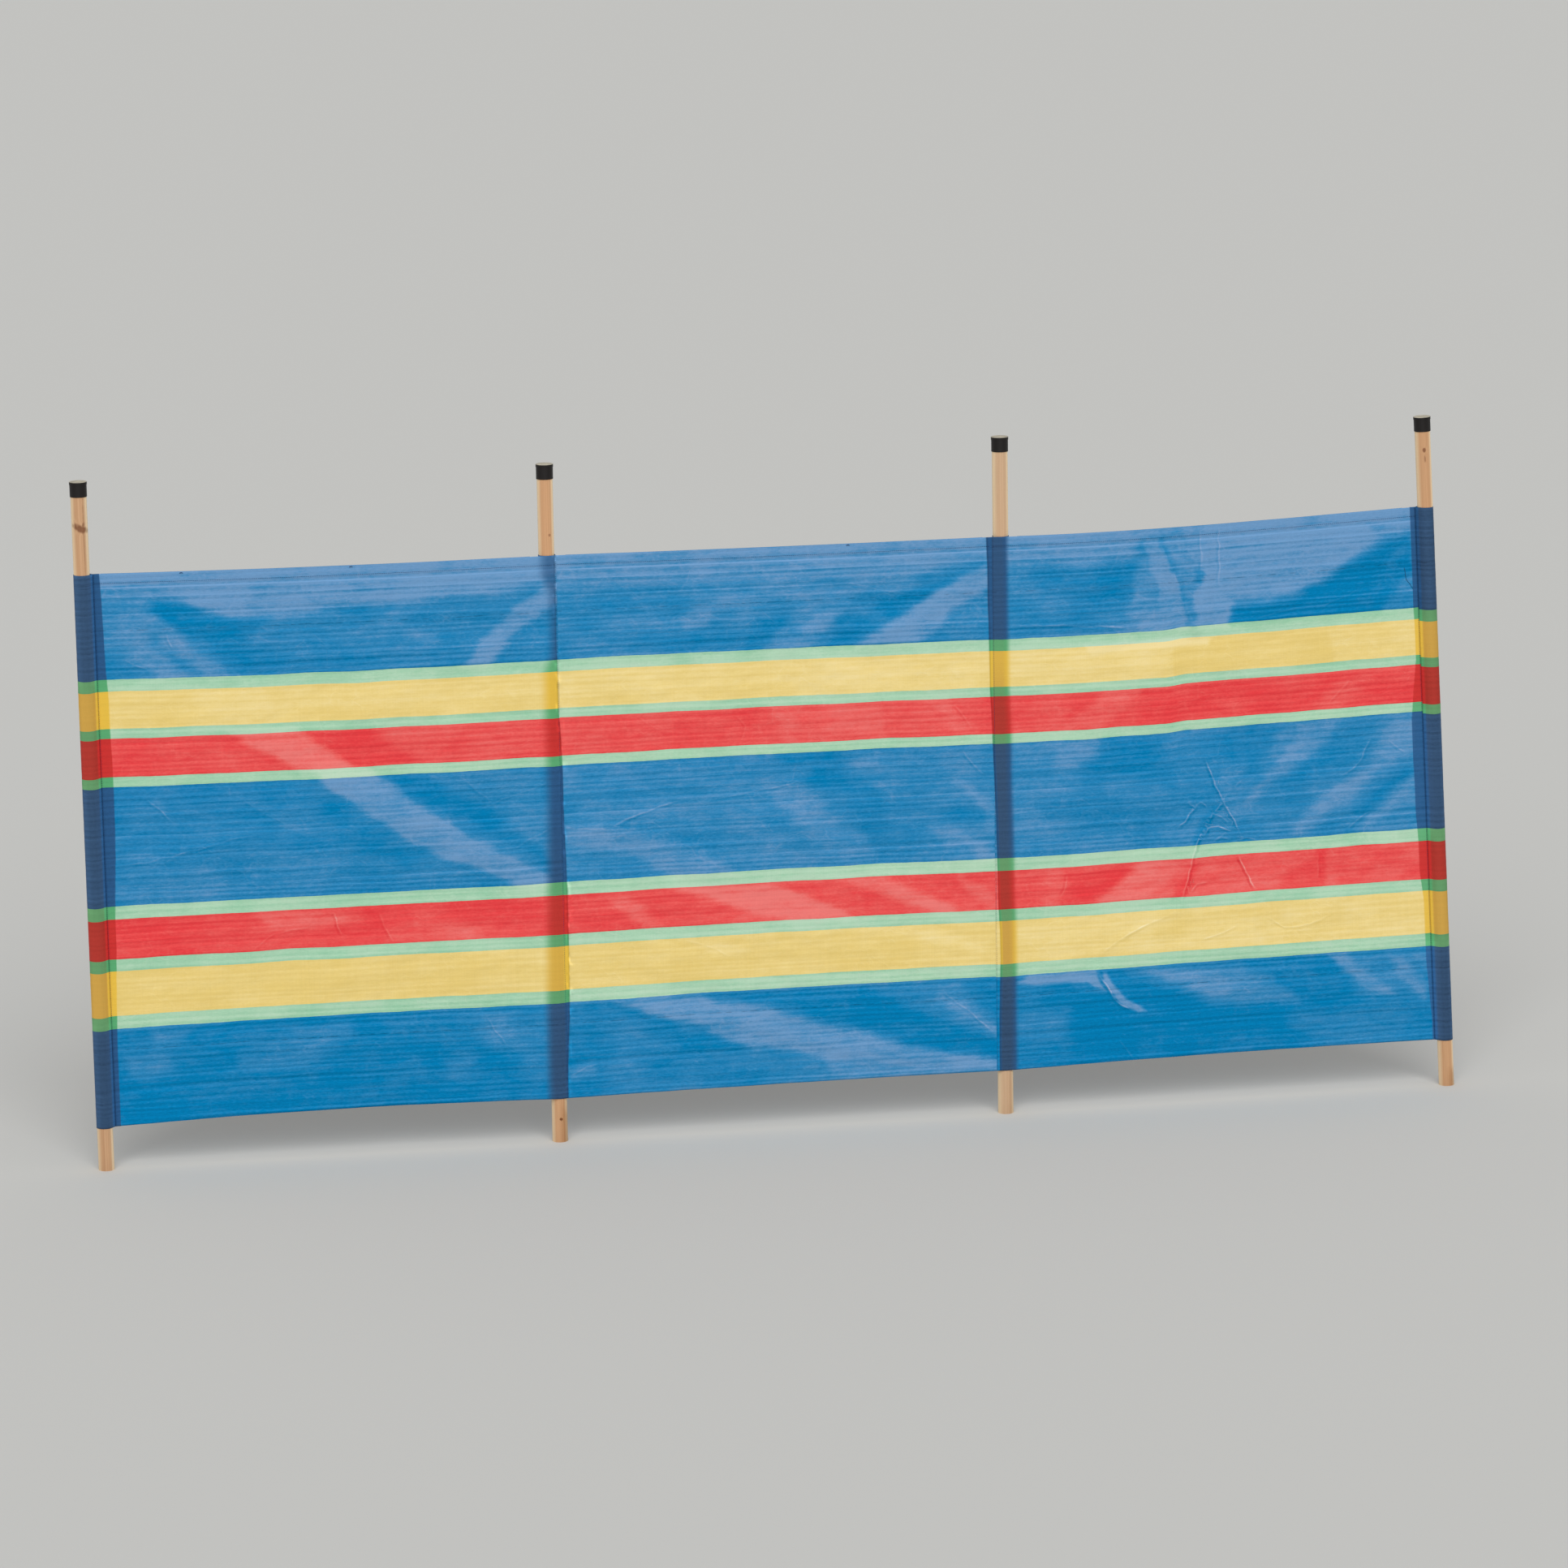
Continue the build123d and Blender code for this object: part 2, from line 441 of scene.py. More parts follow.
class ClothPaint:
    """The striped cloth's material in the making: its shader, places on the cloth, and named details over them."""

    def __init__(self, cloth: StripedCloth) -> None:
        """Start the material, lay the noises over the cloth and find its stripes."""
        self.cloth = cloth
        self.shader = Shader("striped_cloth")
        self.u, self.v, _ = self.shader.split(self.shader.node("ShaderNodeUVMap", {"uv_map": "cloth"}).outputs[0])
        self.noise = {name: pattern.over(self.shader, self.u, self.v) for name, pattern in CLOTH_PATTERNS.items()}
        self.noise["drift"] = DRIFT.over(self.shader, self.u, (self.v / cloth.tape).floor())
        frayed = self.v + (self.noise["ragged"] - 0.5) * cloth.fray
        edges = np.cumsum([width for _, width in STRIPE_WIDTHS])[:-1]
        self.past_edges = [frayed - float(edge) for edge in edges]
        self.stripe = (sum(past.above(0.0) for past in self.past_edges) + 0.5) / float(len(STRIPE_WIDTHS))
        self.contrast = Signal(self.shader, self.stripes(cloth.contrast))
        self.details = {**self.weave_details(), **self.line_details(), **self.crease_details()}

    def stripes(self, palette: Palette) -> Socket:
        """One palette's colour at each place: the number of stripe edges above it picks one even step of a ramp."""
        stops = [(index / len(STRIPE_WIDTHS), palette.of(stripe)) for index, (stripe, _) in enumerate(STRIPE_WIDTHS)]
        settings = {"stops": stops, "ramp_interpolation": "CONSTANT"}
        return self.shader.node("ShaderNodeValToRGB", settings, {"Fac": self.stripe}).outputs[0]

    @staticmethod
    def near(away: Signal, core: float, reach: float) -> Signal:
        """1 within a core of a line and 0 beyond a reach of it, for signed distances from the line."""
        return 1.0 - away.size().step(core, reach)

    def tapes(self, places: tuple[float, ...]) -> Signal:
        """1 on any of some thin level lines, fading out beside them."""
        return sum(self.near(self.v - place, 0.0003, 0.0013) for place in places)

    def weave_details(self) -> dict[str, Signal]:
        """The weave's details.

        The ribs are a sine wave down the cloth with a wandering phase, strong in some bands only. Across and along
        are the humps of the tapes in both directions. The wrinkles are the walls of cells whose places noise warps.

        Returns:
            The details by name.
        """
        shader, u, v, noise = self.shader, self.u, self.v, self.noise
        wave = (v * self.cloth.rib_pace + noise["wander"] * self.cloth.rib_wander).sine()
        warp = noise["warp"]
        cells = {"Vector": shader.join(u * 38.0 + warp * 1.6, v * 62.0 + warp * 2.4, 0.0), "Scale": 1.0}
        wall = Signal(shader, shader.node("ShaderNodeTexVoronoi", {"feature": "DISTANCE_TO_EDGE"}, cells).outputs[0])
        wrinkle = (1.0 - wall.step(0.01, 0.09)) * (1.0 - noise["cloud"].step(0.42, 0.56)) * warp.step(0.45, 0.6)
        return {
            "rib": wave * noise["ribbed"].step(0.28, 0.62),
            "across": (v * (np.pi / self.cloth.tape)).sine().size(),
            "along": (u * (np.pi / self.cloth.tape)).sine().size(),
            "speck": noise["speck"].step(0.68, 0.76) * noise["cloud"].step(0.45, 0.62),
            "wrinkle": wrinkle,
        }

    def line_details(self) -> dict[str, Signal]:
        """Level lines: odd tapes, painted shade along the hem's seam, a painted highlight under the hem, and each
        stripe's edges.
        """
        noise, cloth = self.noise, self.cloth
        under_hem = self.near(self.v - cloth.under_hem, 0.0006, 0.0023)
        return {
            "pale_tape": self.tapes(cloth.pale_tapes) * noise["ribbed"].step(0.28, 0.62),
            "dark_tape": self.tapes(cloth.dark_tapes) * noise["broken"].step(0.4, 0.6),
            "hem_seam": self.tapes((cloth.hem_seam,)),
            "under_hem": under_hem * (0.35 + noise["streak"].step(0.25, 0.6) * 0.65),
            "stripe_edge": sum(self.near(past, 0.0006, 0.0030) for past in self.past_edges) * self.contrast,
        }

    def crease_details(self) -> dict[str, Signal]:
        """A crease's painted highlight on its ridge, and painted shade 3 mm to the right of that."""
        away = self.shader.mark("crease") + (self.noise["mottle"] - 0.5) * 3.0
        sharp = self.shader.mark("sharp")
        return {"ridge": self.near(away, 0.4, 2.2) * sharp, "shade": self.near(away - 3.2, 0.5, 3.0) * sharp}

    def blend(self, amounts: dict[str, float]) -> Signal:
        """The sum of some details in given amounts. A noise counts from its middle."""
        parts = [self.noise[name] - 0.5 if name in self.noise else self.details[name] for name in amounts]
        return sum(part * amount for part, amount in zip(parts, amounts.values()))

    def dyed(self, shine: Signal) -> Socket:
        """The colour at a painted sheen: deep to fair evenly and on to pale by a square, then the painted shade of
        doubled cloth and of a pole behind.

        Args:
            shine: how much painted sheen the cloth has.

        Returns:
            The colour before its tone.
        """
        cloth, shader = self.cloth, self.shader
        share = (shine - cloth.fair_from) / cloth.fair_span
        glare = (shine - cloth.pale_from).most(0.0)
        colour = shader.mix(share, self.stripes(cloth.deep), self.stripes(cloth.fair))
        colour = shader.mix(glare * glare, colour, self.stripes(cloth.pale))
        colour = shader.mix(shader.mark("doubled"), colour, self.stripes(cloth.doubled))
        return shader.mix(shader.mark("backed"), colour, self.stripes(cloth.backed))

    def finished(self) -> Material:
        """Work out the colour, tone and relief, and close the material.

        The painted sheen stored on the mesh is broken up by ribs, streaks and spots, and levels off towards its least
        and its most. The tone varies most where the painted sheen is least.

        Returns:
            The material.
        """
        cloth, shader = self.cloth, self.shader
        level = shader.mark("bloom") + self.blend(LEVEL_AMOUNTS)
        shine = level.step(*cloth.level_span) * cloth.shine_gain + cloth.shine_least + self.blend(CREASE_AMOUNTS)
        calm = 1.3 - shine.step(-0.25, 0.75) * 0.7
        tone = 1.0 + self.blend(CONTRAST_AMOUNTS) * self.contrast * calm + self.blend(TONE_AMOUNTS)
        # Painted pole shadow: a little darker still over the dim stretch where a pole is behind.
        dim = shader.mark("backed") * self.v.step(*cloth.dim_stretch) * 0.08
        colour = shader.scaled(self.dyed(shine), tone * (1.0 + shader.mark("lift")) - dim)
        roughness = self.blend({"mottle": 0.3}) + cloth.roughness
        height = self.blend(RELIEF_AMOUNTS)
        return shader.finish(colour, roughness, height, cloth.weave_depth, Specular_IOR_Level=0.03)


@dataclass(frozen=True)
class Knot:
    """A knot on a pole: its height, its turn about the axis from the front, its sizes, tilt and darkness."""

    height: float
    turn: float
    length: float
    width: float
    tilt: float = 0.0
    depth: float = 0.85

    def away(self, pole: Pole, x: Signal, z: Signal) -> Signal:
        """Distance from the knot's middle in its own sizes: 1 on the edge of its tilted oval.

        Args:
            pole: the pole that it is on.
            x: distance east of the pole's axis.
            z: height.

        Returns:
            Distances.
        """
        up = z - self.height
        side = x - pole.radius * float(np.sin(self.turn))
        cosine, sine = float(np.cos(self.tilt)), float(np.sin(self.tilt))
        along = (up * cosine - side * sine) / self.length
        across = (side * cosine + up * sine) / self.width
        return (along * along + across * across).root()


# Painted sheen: the pale colour given to both sides of a pole seen from the front.
PAINTED_EDGE_SHEEN = srgb(248, 222, 182)
KNOT_WOOD = srgb(104, 56, 30)
STAINED_WOOD = srgb(146, 98, 54)


@dataclass(frozen=True)
class TurnedPine:
    """Pine turned to a round pole: the growth rings of a board show as long lines on it.

    The pith is the place of the tree's middle from the pole's axis. The stain's darkness and height are those of the
    dirty foot. The rings' pace is in radians a metre.
    """

    name: str
    pale: Colour
    warm: Colour
    pith: tuple[float, float]
    knots: tuple[Knot, ...] = ()
    stain: tuple[float, float] = (0.0, 0.05)
    ring_pace: float = 2400.0
    knot_swell: float = 0.0016
    grain_depth: float = 0.0002

    def material(self, pole: Pole) -> Material:
        """Build the wood's material.

        The grain is the distance from the tree's middle, which lies outside the pole and wanders with height. A
        knot is a tilted oval in height and turn round the pole, with the grain drawn round it.

        Args:
            pole: the pole that it covers.

        Returns:
            The material.
        """
        shader = Shader(self.name)
        x, y, z = shader.split(shader.node("ShaderNodeTexCoord").outputs["Object"])
        x = x - z * pole.slope - pole.foot
        wander = shader.noise(shader.join(x * 30.0, y * 30.0, z * 2.2), 2.0) - 0.5
        swirl = shader.noise(shader.join(x * 160.0, y * 160.0, z * 90.0), 2.0) - 0.5
        fibre = shader.noise(shader.join(x * 1500.0, y * 1500.0, z * 26.0), 2.0)
        patch = shader.noise(shader.join(x * 60.0, y * 60.0, z * 5.0), 2.0)
        east = x - self.pith[0] + wander * 0.006
        north = y - self.pith[1]
        reach = (east * east + north * north).root()
        front = (0.0 - y).step(-0.001, 0.002)
        heart: Signal | float = 0.0
        for knot in self.knots:
            inside = 1.0 - knot.away(pole, x, z) - swirl * 0.9
            reach = reach + inside.step(-1.2, 1.0) * self.knot_swell
            heart = (inside.step(0.0, 0.6) * front * knot.depth).most(heart)
        ring = (reach * self.ring_pace).sine()
        band = shader.noise(shader.join(reach * 420.0, 0.0, z * 0.7), 2.0)
        late = ring.step(0.1, 1.0) * 0.45 + band.step(0.35, 0.7) * 0.55
        # Painted sheen on both sides of the pole seen from the front, more on the east side, which the sun leaves
        # darker.
        edge_sheen = (x.size() + x * 0.1).step(0.5 * pole.radius, 0.98 * pole.radius)
        colour = shader.mix(late * 0.8, self.pale, self.warm)
        colour = shader.mix(edge_sheen * 0.9, colour, PAINTED_EDGE_SHEEN)
        colour = shader.mix(heart, colour, KNOT_WOOD)
        depth, top = self.stain
        stained = x.step(-0.006, 0.008) * (1.0 - (z + swirl * 0.02).step(top * 0.6, top * 1.4))
        colour = shader.mix(stained * depth, colour, STAINED_WOOD)
        rise = 0.89 + z.step(0.0, 0.03) * 0.06 + z.step(0.05, 0.9) * 0.05
        colour = shader.scaled(colour, (1.0 + (fibre - 0.5) * 0.22 + (patch - 0.5) * 0.16) * rise)
        roughness = 0.55 + (fibre - 0.5) * 0.2
        height = fibre * 0.7 + ring * 0.15
        return shader.finish(colour, roughness, height, self.grain_depth, Specular_IOR_Level=0.2)


WOODS: tuple[TurnedPine, ...] = (
    TurnedPine(
        "pine_1",
        srgb(199, 158, 121),
        srgb(176, 132, 95),
        (0.034, 0.026),
        (
            Knot(1.0300, 0.10, 0.0070, 0.0165, -0.45, 0.78),
            Knot(1.0350, 0.35, 0.0080, 0.0030, -0.30, 0.60),
            Knot(1.0150, 0.42, 0.0900, 0.0011, 0.0, 0.35),
        ),
    ),
    TurnedPine(
        "pine_2",
        srgb(203, 158, 118),
        srgb(187, 139, 100),
        (-0.052, 0.020),
        (Knot(0.9860, 0.32, 0.0032, 0.0030, 0.0, 0.5), Knot(0.0380, 0.05, 0.0034, 0.0034, 0.0, 1.0)),
        (0.55, 0.060),
    ),
    TurnedPine("pine_3", srgb(202, 169, 136), srgb(188, 152, 119), (0.060, 0.044), (), (0.22, 0.070)),
    TurnedPine(
        "pine_4",
        srgb(199, 155, 116),
        srgb(183, 137, 98),
        (-0.036, 0.034),
        (Knot(1.0580, -0.10, 0.0050, 0.0040, 0.0, 0.75), Knot(1.0440, -0.05, 0.0080, 0.0020, 0.0, 0.45)),
        (0.42, 0.028),
    ),
)


@dataclass(frozen=True)
class CapPlastic:
    """Black satin plastic, with dust and a painted sky reflection on its crown."""

    body: Colour = srgb(20, 16, 15)
    dust_and_sheen: Colour = srgb(196, 188, 168)

    def material(self) -> Material:
        """Build the caps' material: noise speckles the plastic, and dust with a painted sky reflection covers it where
        it faces up.
        """
        shader = Shader("cap_plastic")
        x, y, z = shader.split(shader.node("ShaderNodeTexCoord").outputs["Object"])
        speckle = shader.noise(shader.join(x * 900.0, y * 900.0, z * 900.0), 2.0)
        smear = shader.noise(shader.join(x * 120.0, y * 120.0, z * 60.0), 3.0)
        _, _, facing = shader.split(shader.node("ShaderNodeNewGeometry").outputs["Normal"])
        dust_and_sheen_share = facing.step(0.35, 0.9) * (0.45 + smear * 0.75)
        colour = shader.mix(dust_and_sheen_share, self.body, self.dust_and_sheen)
        colour = shader.scaled(colour, 0.8 + smear * 0.4)
        roughness = 0.45 + (smear - 0.5) * 0.25 + dust_and_sheen_share * 0.2
        return shader.finish(colour, roughness, speckle, 0.00008, Specular_IOR_Level=0.3)


@dataclass(frozen=True)
class SewingThread:
    """Twisted synthetic thread."""

    name: str
    colour: Colour

    def material(self) -> Material:
        """Build the thread's material: slanting bands of tone stand for its twist."""
        shader = Shader(self.name)
        x, y, z = shader.split(shader.node("ShaderNodeTexCoord").outputs["Object"])
        twist = ((x + y + z) * 5200.0).sine()
        fuzz = shader.noise(shader.join(x * 1300.0, y * 1300.0, z * 1300.0), 1.0)
        colour = shader.scaled(self.colour[:3], 0.92 + twist * 0.1 + (fuzz - 0.5) * 0.25)
        return shader.finish(colour, 0.6 + (fuzz - 0.5) * 0.2, twist, 0.00005, Specular_IOR_Level=0.3)


@dataclass(frozen=True)
class Pole:
    """One pole's axis and what the cloth on it spans, read from the frame and trimmed as the cloth hangs."""

    number: int
    foot: float
    slope: float
    radius: float
    cloth_top: float
    cloth_bottom: float
    drop: float
    body: str

    def axis_x(self, height: Array | float) -> Array | float:
        """X of the pole's axis at a height."""
        return self.foot + self.slope * height


# One value for each pole, from the left: its pocket, what it moves with, and how far the cloth's corners on it lie
# above or below their CAD places.
POCKETS: tuple[str, ...] = ("end_pocket_left", "inner_pocket_left", "inner_pocket_right", "end_pocket_right")
WINGS: tuple[str, ...] = ("left_wing", "left_wing", "right_wing", "right_wing")
TOP_TRIMS: tuple[float, ...] = (0.0035, 0.0005, -0.0035, 0.0030)
BOTTOM_TRIMS: tuple[float, ...] = (0.0010, 0.0040, 0.0050, 0.0010)


def read_poles(frame: dict) -> list[Pole]:
    """Read each pole's axis, radius and span of cloth from the frame.

    The axis runs from the mount at the pole's foot through the middle of its cap's box.


    Returns:
        The poles, from the left.
    """
    mounts = {mount["name"]: mount["pos_m"] for mount in frame["record"]["mounts"]}
    poles = []
    for number, (pocket, body, top, bottom) in enumerate(zip(POCKETS, WINGS, TOP_TRIMS, BOTTOM_TRIMS), start=1):
        foot = mounts[f"pole_foot_{number}"][0]
        cap_low, cap_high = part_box(f"pole_cap_{number}")
        slope = ((cap_low.x + cap_high.x) / 2 - foot) / ((cap_low.z + cap_high.z) / 2)
        pole_low, pole_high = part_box(f"pole_{number}")
        low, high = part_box(pocket)
        radius = (pole_high.y - pole_low.y) / 2
        poles.append(Pole(number, foot, slope, radius, high.z + top, low.z + bottom, high.z - low.z, body))
    return poles


def add_object(name: str, data: bpy.types.ID) -> bpy.types.Object:
    """Make an object of a mesh, lamp or camera and put it in the scene."""
    made = bpy.data.objects.new(name, data)
    bpy.context.scene.collection.objects.link(made)
    return made


def smooth_mesh(name: str, points: Array, faces: Sequence | Array, material: Material) -> bpy.types.Mesh:
    """Make a smooth-shaded mesh with one finish.

    Args:
        name: the mesh's name.
        points: its points, with a last axis of 3.
        faces: the points of each face.
        material: its finish.

    Returns:
        The new mesh.
    """
    mesh = bpy.data.meshes.new(name)
    mesh.from_pydata(points.reshape(-1, 3), [], faces)
    mesh.polygons.foreach_set("use_smooth", np.ones(len(mesh.polygons), bool))
    mesh.materials.append(material)
    return mesh


MARK_NAMES: tuple[str, ...] = ("bloom", "doubled", "backed", "crease", "sharp", "lift")


def grid_object(
    name: str, points: Array, places: Array, marks: Marks, thickness: float, material: Material
) -> bpy.types.Object:
    """Make a sheet from a grid of points: rows of squares between neighbours, then Solidify for its thickness.

    Args:
        name: the piece's name.
        points: the grid's points, rows by columns by 3.
        places: (u, v) of each point, rows by columns by 2.
        marks: numbers stored on the points, each rows by columns.
        thickness: of the finished cloth.
        material: its finish.

    Returns:
        The new object.
    """
    rows, columns = points.shape[:2]
    index = np.arange(rows * columns).reshape(rows, columns)
    corners = np.stack([index[:-1, :-1], index[1:, :-1], index[1:, 1:], index[:-1, 1:]], axis=-1).reshape(-1, 4)
    mesh = smooth_mesh(name, points, corners, material)
    layer = mesh.uv_layers.new(name="cloth")
    layer.data.foreach_set("uv", places.reshape(-1, 2)[corners.reshape(-1)].astype(np.float32).reshape(-1))
    for mark in MARK_NAMES:
        values = marks.get(mark, np.zeros((rows, columns)))
        stored = mesh.attributes.new(mark, "FLOAT", "POINT")
        stored.data.foreach_set("value", np.broadcast_to(values, (rows, columns)).astype(np.float32).reshape(-1))
    mesh.update()
    made = add_object(name, mesh)
    wall = made.modifiers.new("thickness", "SOLIDIFY")
    wall.thickness = thickness
    wall.offset = 0.0
    return made


THREAD_SIDES = 5
THREAD_TAPER = 0.55


def thread_object(name: str, lines: Array, out: Array, radius: float, material: Material) -> bpy.types.Object:
    """Make many short threads as one mesh: a five-sided ring carried along each line, closed at both ends.

    Args:
        name: the piece's name.
        lines: threads by points by 3.
        out: a direction for each thread that isn't along it, threads by 3.
        radius: of a thread.
        material: its finish.

    Returns:
        The new object.
    """
    threads, stations = lines.shape[:2]
    ahead = np.gradient(lines, axis=1)
    ahead /= np.linalg.norm(ahead, axis=2, keepdims=True)
    across = np.cross(ahead, out[:, None, :])
    across /= np.linalg.norm(across, axis=2, keepdims=True)
    up = np.cross(across, ahead)
    turn = 2 * np.pi * np.arange(THREAD_SIDES) / THREAD_SIDES
    taper = np.full(stations, radius)
    taper[[0, -1]] = radius * THREAD_TAPER
    ring = across[:, :, None] * np.cos(turn)[:, None] + up[:, :, None] * np.sin(turn)[:, None]
    points = lines[:, :, None] + ring * taper[:, None, None]
    index = np.arange(threads * stations * THREAD_SIDES).reshape(threads, stations, THREAD_SIDES)
    following = np.roll(index, -1, axis=2)
    walls = np.stack([index[:, :-1], index[:, 1:], following[:, 1:], following[:, :-1]], axis=-1).reshape(-1, 4)
    ends = np.concatenate([index[:, 0, :], index[:, -1, ::-1]])
    mesh = smooth_mesh(name, points, walls.tolist() + ends.tolist(), material)
    mesh.update()
    return add_object(name, mesh)


@dataclass(frozen=True)
class Course:
    """Where a cloth runs in plan: the share of the way between two poles, an offset in X from there, and Y."""

    share: Array
    offset: Array
    y: Array

    def lengths(self, span: float) -> Array:
        """Distance along the course of each of its points, for poles a span apart."""
        return run_of(self.share * span + self.offset, self.y)


def run_of(x: Array, y: Array) -> Array:
    """Distance along a line of points of each of them, from the first."""
    return np.concatenate([[0.0], np.cumsum(np.hypot(np.diff(x), np.diff(y)))])


def arc(radius: float, angles: Array) -> Array:
    """Points on a circle about a pole's axis, at angles from east."""
    return radius * np.stack([np.cos(angles), np.sin(angles)], 1)


def leg(start: Array, end: Array, share: Array) -> Array:
    """Points on the straight way between two points, at shares of it."""
    return start + (end - start) * share[:, None]


def tangent_angle(radius: float, x: float, y: float, side: int) -> float:
    """Angle at which a line from a point touches a circle about a pole, on one side of the point's direction."""
    return float(np.arctan2(y, x) + side * np.arccos(radius / np.hypot(x, y)))


def grain(u: Array, v: Array, seed: int, long: float, short: float) -> Array:
    """Streaky noise: random values at the corners of long low cells, blended smoothly between them.

    Args:
        u, v: places on the surface, in metres.
        seed: picks one pattern.
        long, short: a cell's sizes along u and v, in metres.

    Returns:
        Values of -1 to 1.
    """
    table = np.random.default_rng(seed).uniform(-1, 1, (256, 256))
    across, down = u / long + 30.0, v / short + 30.0
    column, row = np.floor(across).astype(int), np.floor(down).astype(int)
    right = smooth_step(across - column, 0, 1)
    low = smooth_step(down - row, 0, 1)
    upper = table[row % 256, column % 256] * (1 - right) + table[row % 256, (column + 1) % 256] * right
    lower = table[(row + 1) % 256, column % 256] * (1 - right) + table[(row + 1) % 256, (column + 1) % 256] * right
    return upper * (1 - low) + lower * low


@dataclass(frozen=True)
class Patch:
    """A stretch of cloth with more or less painted sheen than the rest.

    The outline holds u and v of each corner in turn, in millimetres, and the edge is blurred over soft millimetres to
    each side. A level of 0 is the cloth's deepest colour and 1 its palest.
    """

    level: float
    soft: float
    outline: tuple[float, ...]

    @classmethod
    def from_row(cls, level: float, soft: float, *outline: float) -> Patch:
        """A patch from a row of numbers, where an outline of four is two opposite corners of a rectangle.

        Args:
            level, soft: as above.
            outline: u and v of each corner, or of two.

        Returns:
            The patch.
        """
        if len(outline) == 4:
            u0, v0, u1, v1 = outline
            outline = (u0, v0, u1, v0, u1, v1, u0, v1)
        return cls(level, soft, outline)

    def cover(self, u: Array, v: Array) -> Array:
        """How much of the patch shows at each place.

        The distance to the outline is the least distance to any of its sides, counted as positive inside, which is
        where a level line from the place crosses the outline an odd number of times.

        Args:
            u, v: places on the cloth, in millimetres.

        Returns:
            0 outside to 1 inside, rising smoothly with that distance.
        """
        corners = np.array(self.outline, float).reshape(-1, 2)
        inside = np.zeros(u.shape, bool)
        nearest = np.full(u.shape, np.inf)
        for (u0, v0), (u1, v1) in zip(corners, np.roll(corners, -1, axis=0)):
            run, fall = u1 - u0, v1 - v0
            share = np.clip(((u - u0) * run + (v - v0) * fall) / (run * run + fall * fall), 0, 1)
            nearest = np.minimum(nearest, np.hypot(u - u0 - share * run, v - v0 - share * fall))
            if fall:
                inside ^= ((v0 > v) != (v1 > v)) & (u < u0 + (v - v0) * run / fall)
        return smooth_step(np.where(inside, nearest, -nearest), -self.soft, self.soft)


@dataclass(frozen=True)
class Fold:
    """A soft fold through some places, given in millimetres as u and v in turn.

    The cloth stands out by height along the line and falls off to each side over the width.
    """

    width: float
    height: float
    path: Sequence[float]

    def stand(self, u: Array, v: Array) -> Array:
        """How far the cloth stands out, in millimetres: a bell curve of the distance from the line over the width."""
        away, _ = beside(self.path, u, v)
        return self.height * np.exp(-((away / self.width) ** 2))


@dataclass(frozen=True)
class Crease:
    """A sharp crease through some places, given in millimetres as u and v in turn: a painted highlight on its ridge and
    painted shade on one side.
    """

    strength: float
    path: Sequence[float]

    def locate(self, u: Array, v: Array) -> tuple[Array, Array]:
        """Find how far each place lies from the crease, and how strong the crease is beside it.

        The distance is positive on the right of the path, seen with v downwards. The strength fades out towards both
        ends of the path, and 7 to 10 mm away from it.

        Args:
            u, v: places on the cloth, in millimetres.

        Returns:
            Signed distances in millimetres, and strengths.
        """
        away, along = beside(self.path, u, v)
        fade = smooth_step(along, 0, 0.2) * (1 - smooth_step(along, 0.8, 1))
        return away, self.strength * fade * (1 - smooth_step(np.abs(away), 7, 10))


def beside(path: Sequence[float], u: Array, v: Array) -> tuple[Array, Array]:
    """Least distance of each place from a path of straight lines.

    Args:
        path: u and v of each stop in turn, in millimetres.
        u, v: places on the cloth, in millimetres.

    Returns:
        Distances, positive on the right of the path seen with v downwards, and the share of the way along the path.
    """
    stops = np.array(path, float).reshape(-1, 2)
    away = np.full(u.shape, 1e4)
    along = np.zeros(u.shape)
    for number, ((u0, v0), (u1, v1)) in enumerate(zip(stops, stops[1:])):
        run, fall = u1 - u0, v1 - v0
        share = np.clip(((u - u0) * run + (v - v0) * fall) / (run * run + fall * fall), 0, 1)
        distance = np.hypot(u - u0 - share * run, v - v0 - share * fall)
        closer = distance < np.abs(away)
        side = np.where(run * (v - v0) > fall * (u - u0), 1.0, -1.0)
        away = np.where(closer, distance * side, away)
        along = np.where(closer, (number + share) / (len(stops) - 1), along)
    return away, along


Rows = tuple[tuple[float, ...], ...]
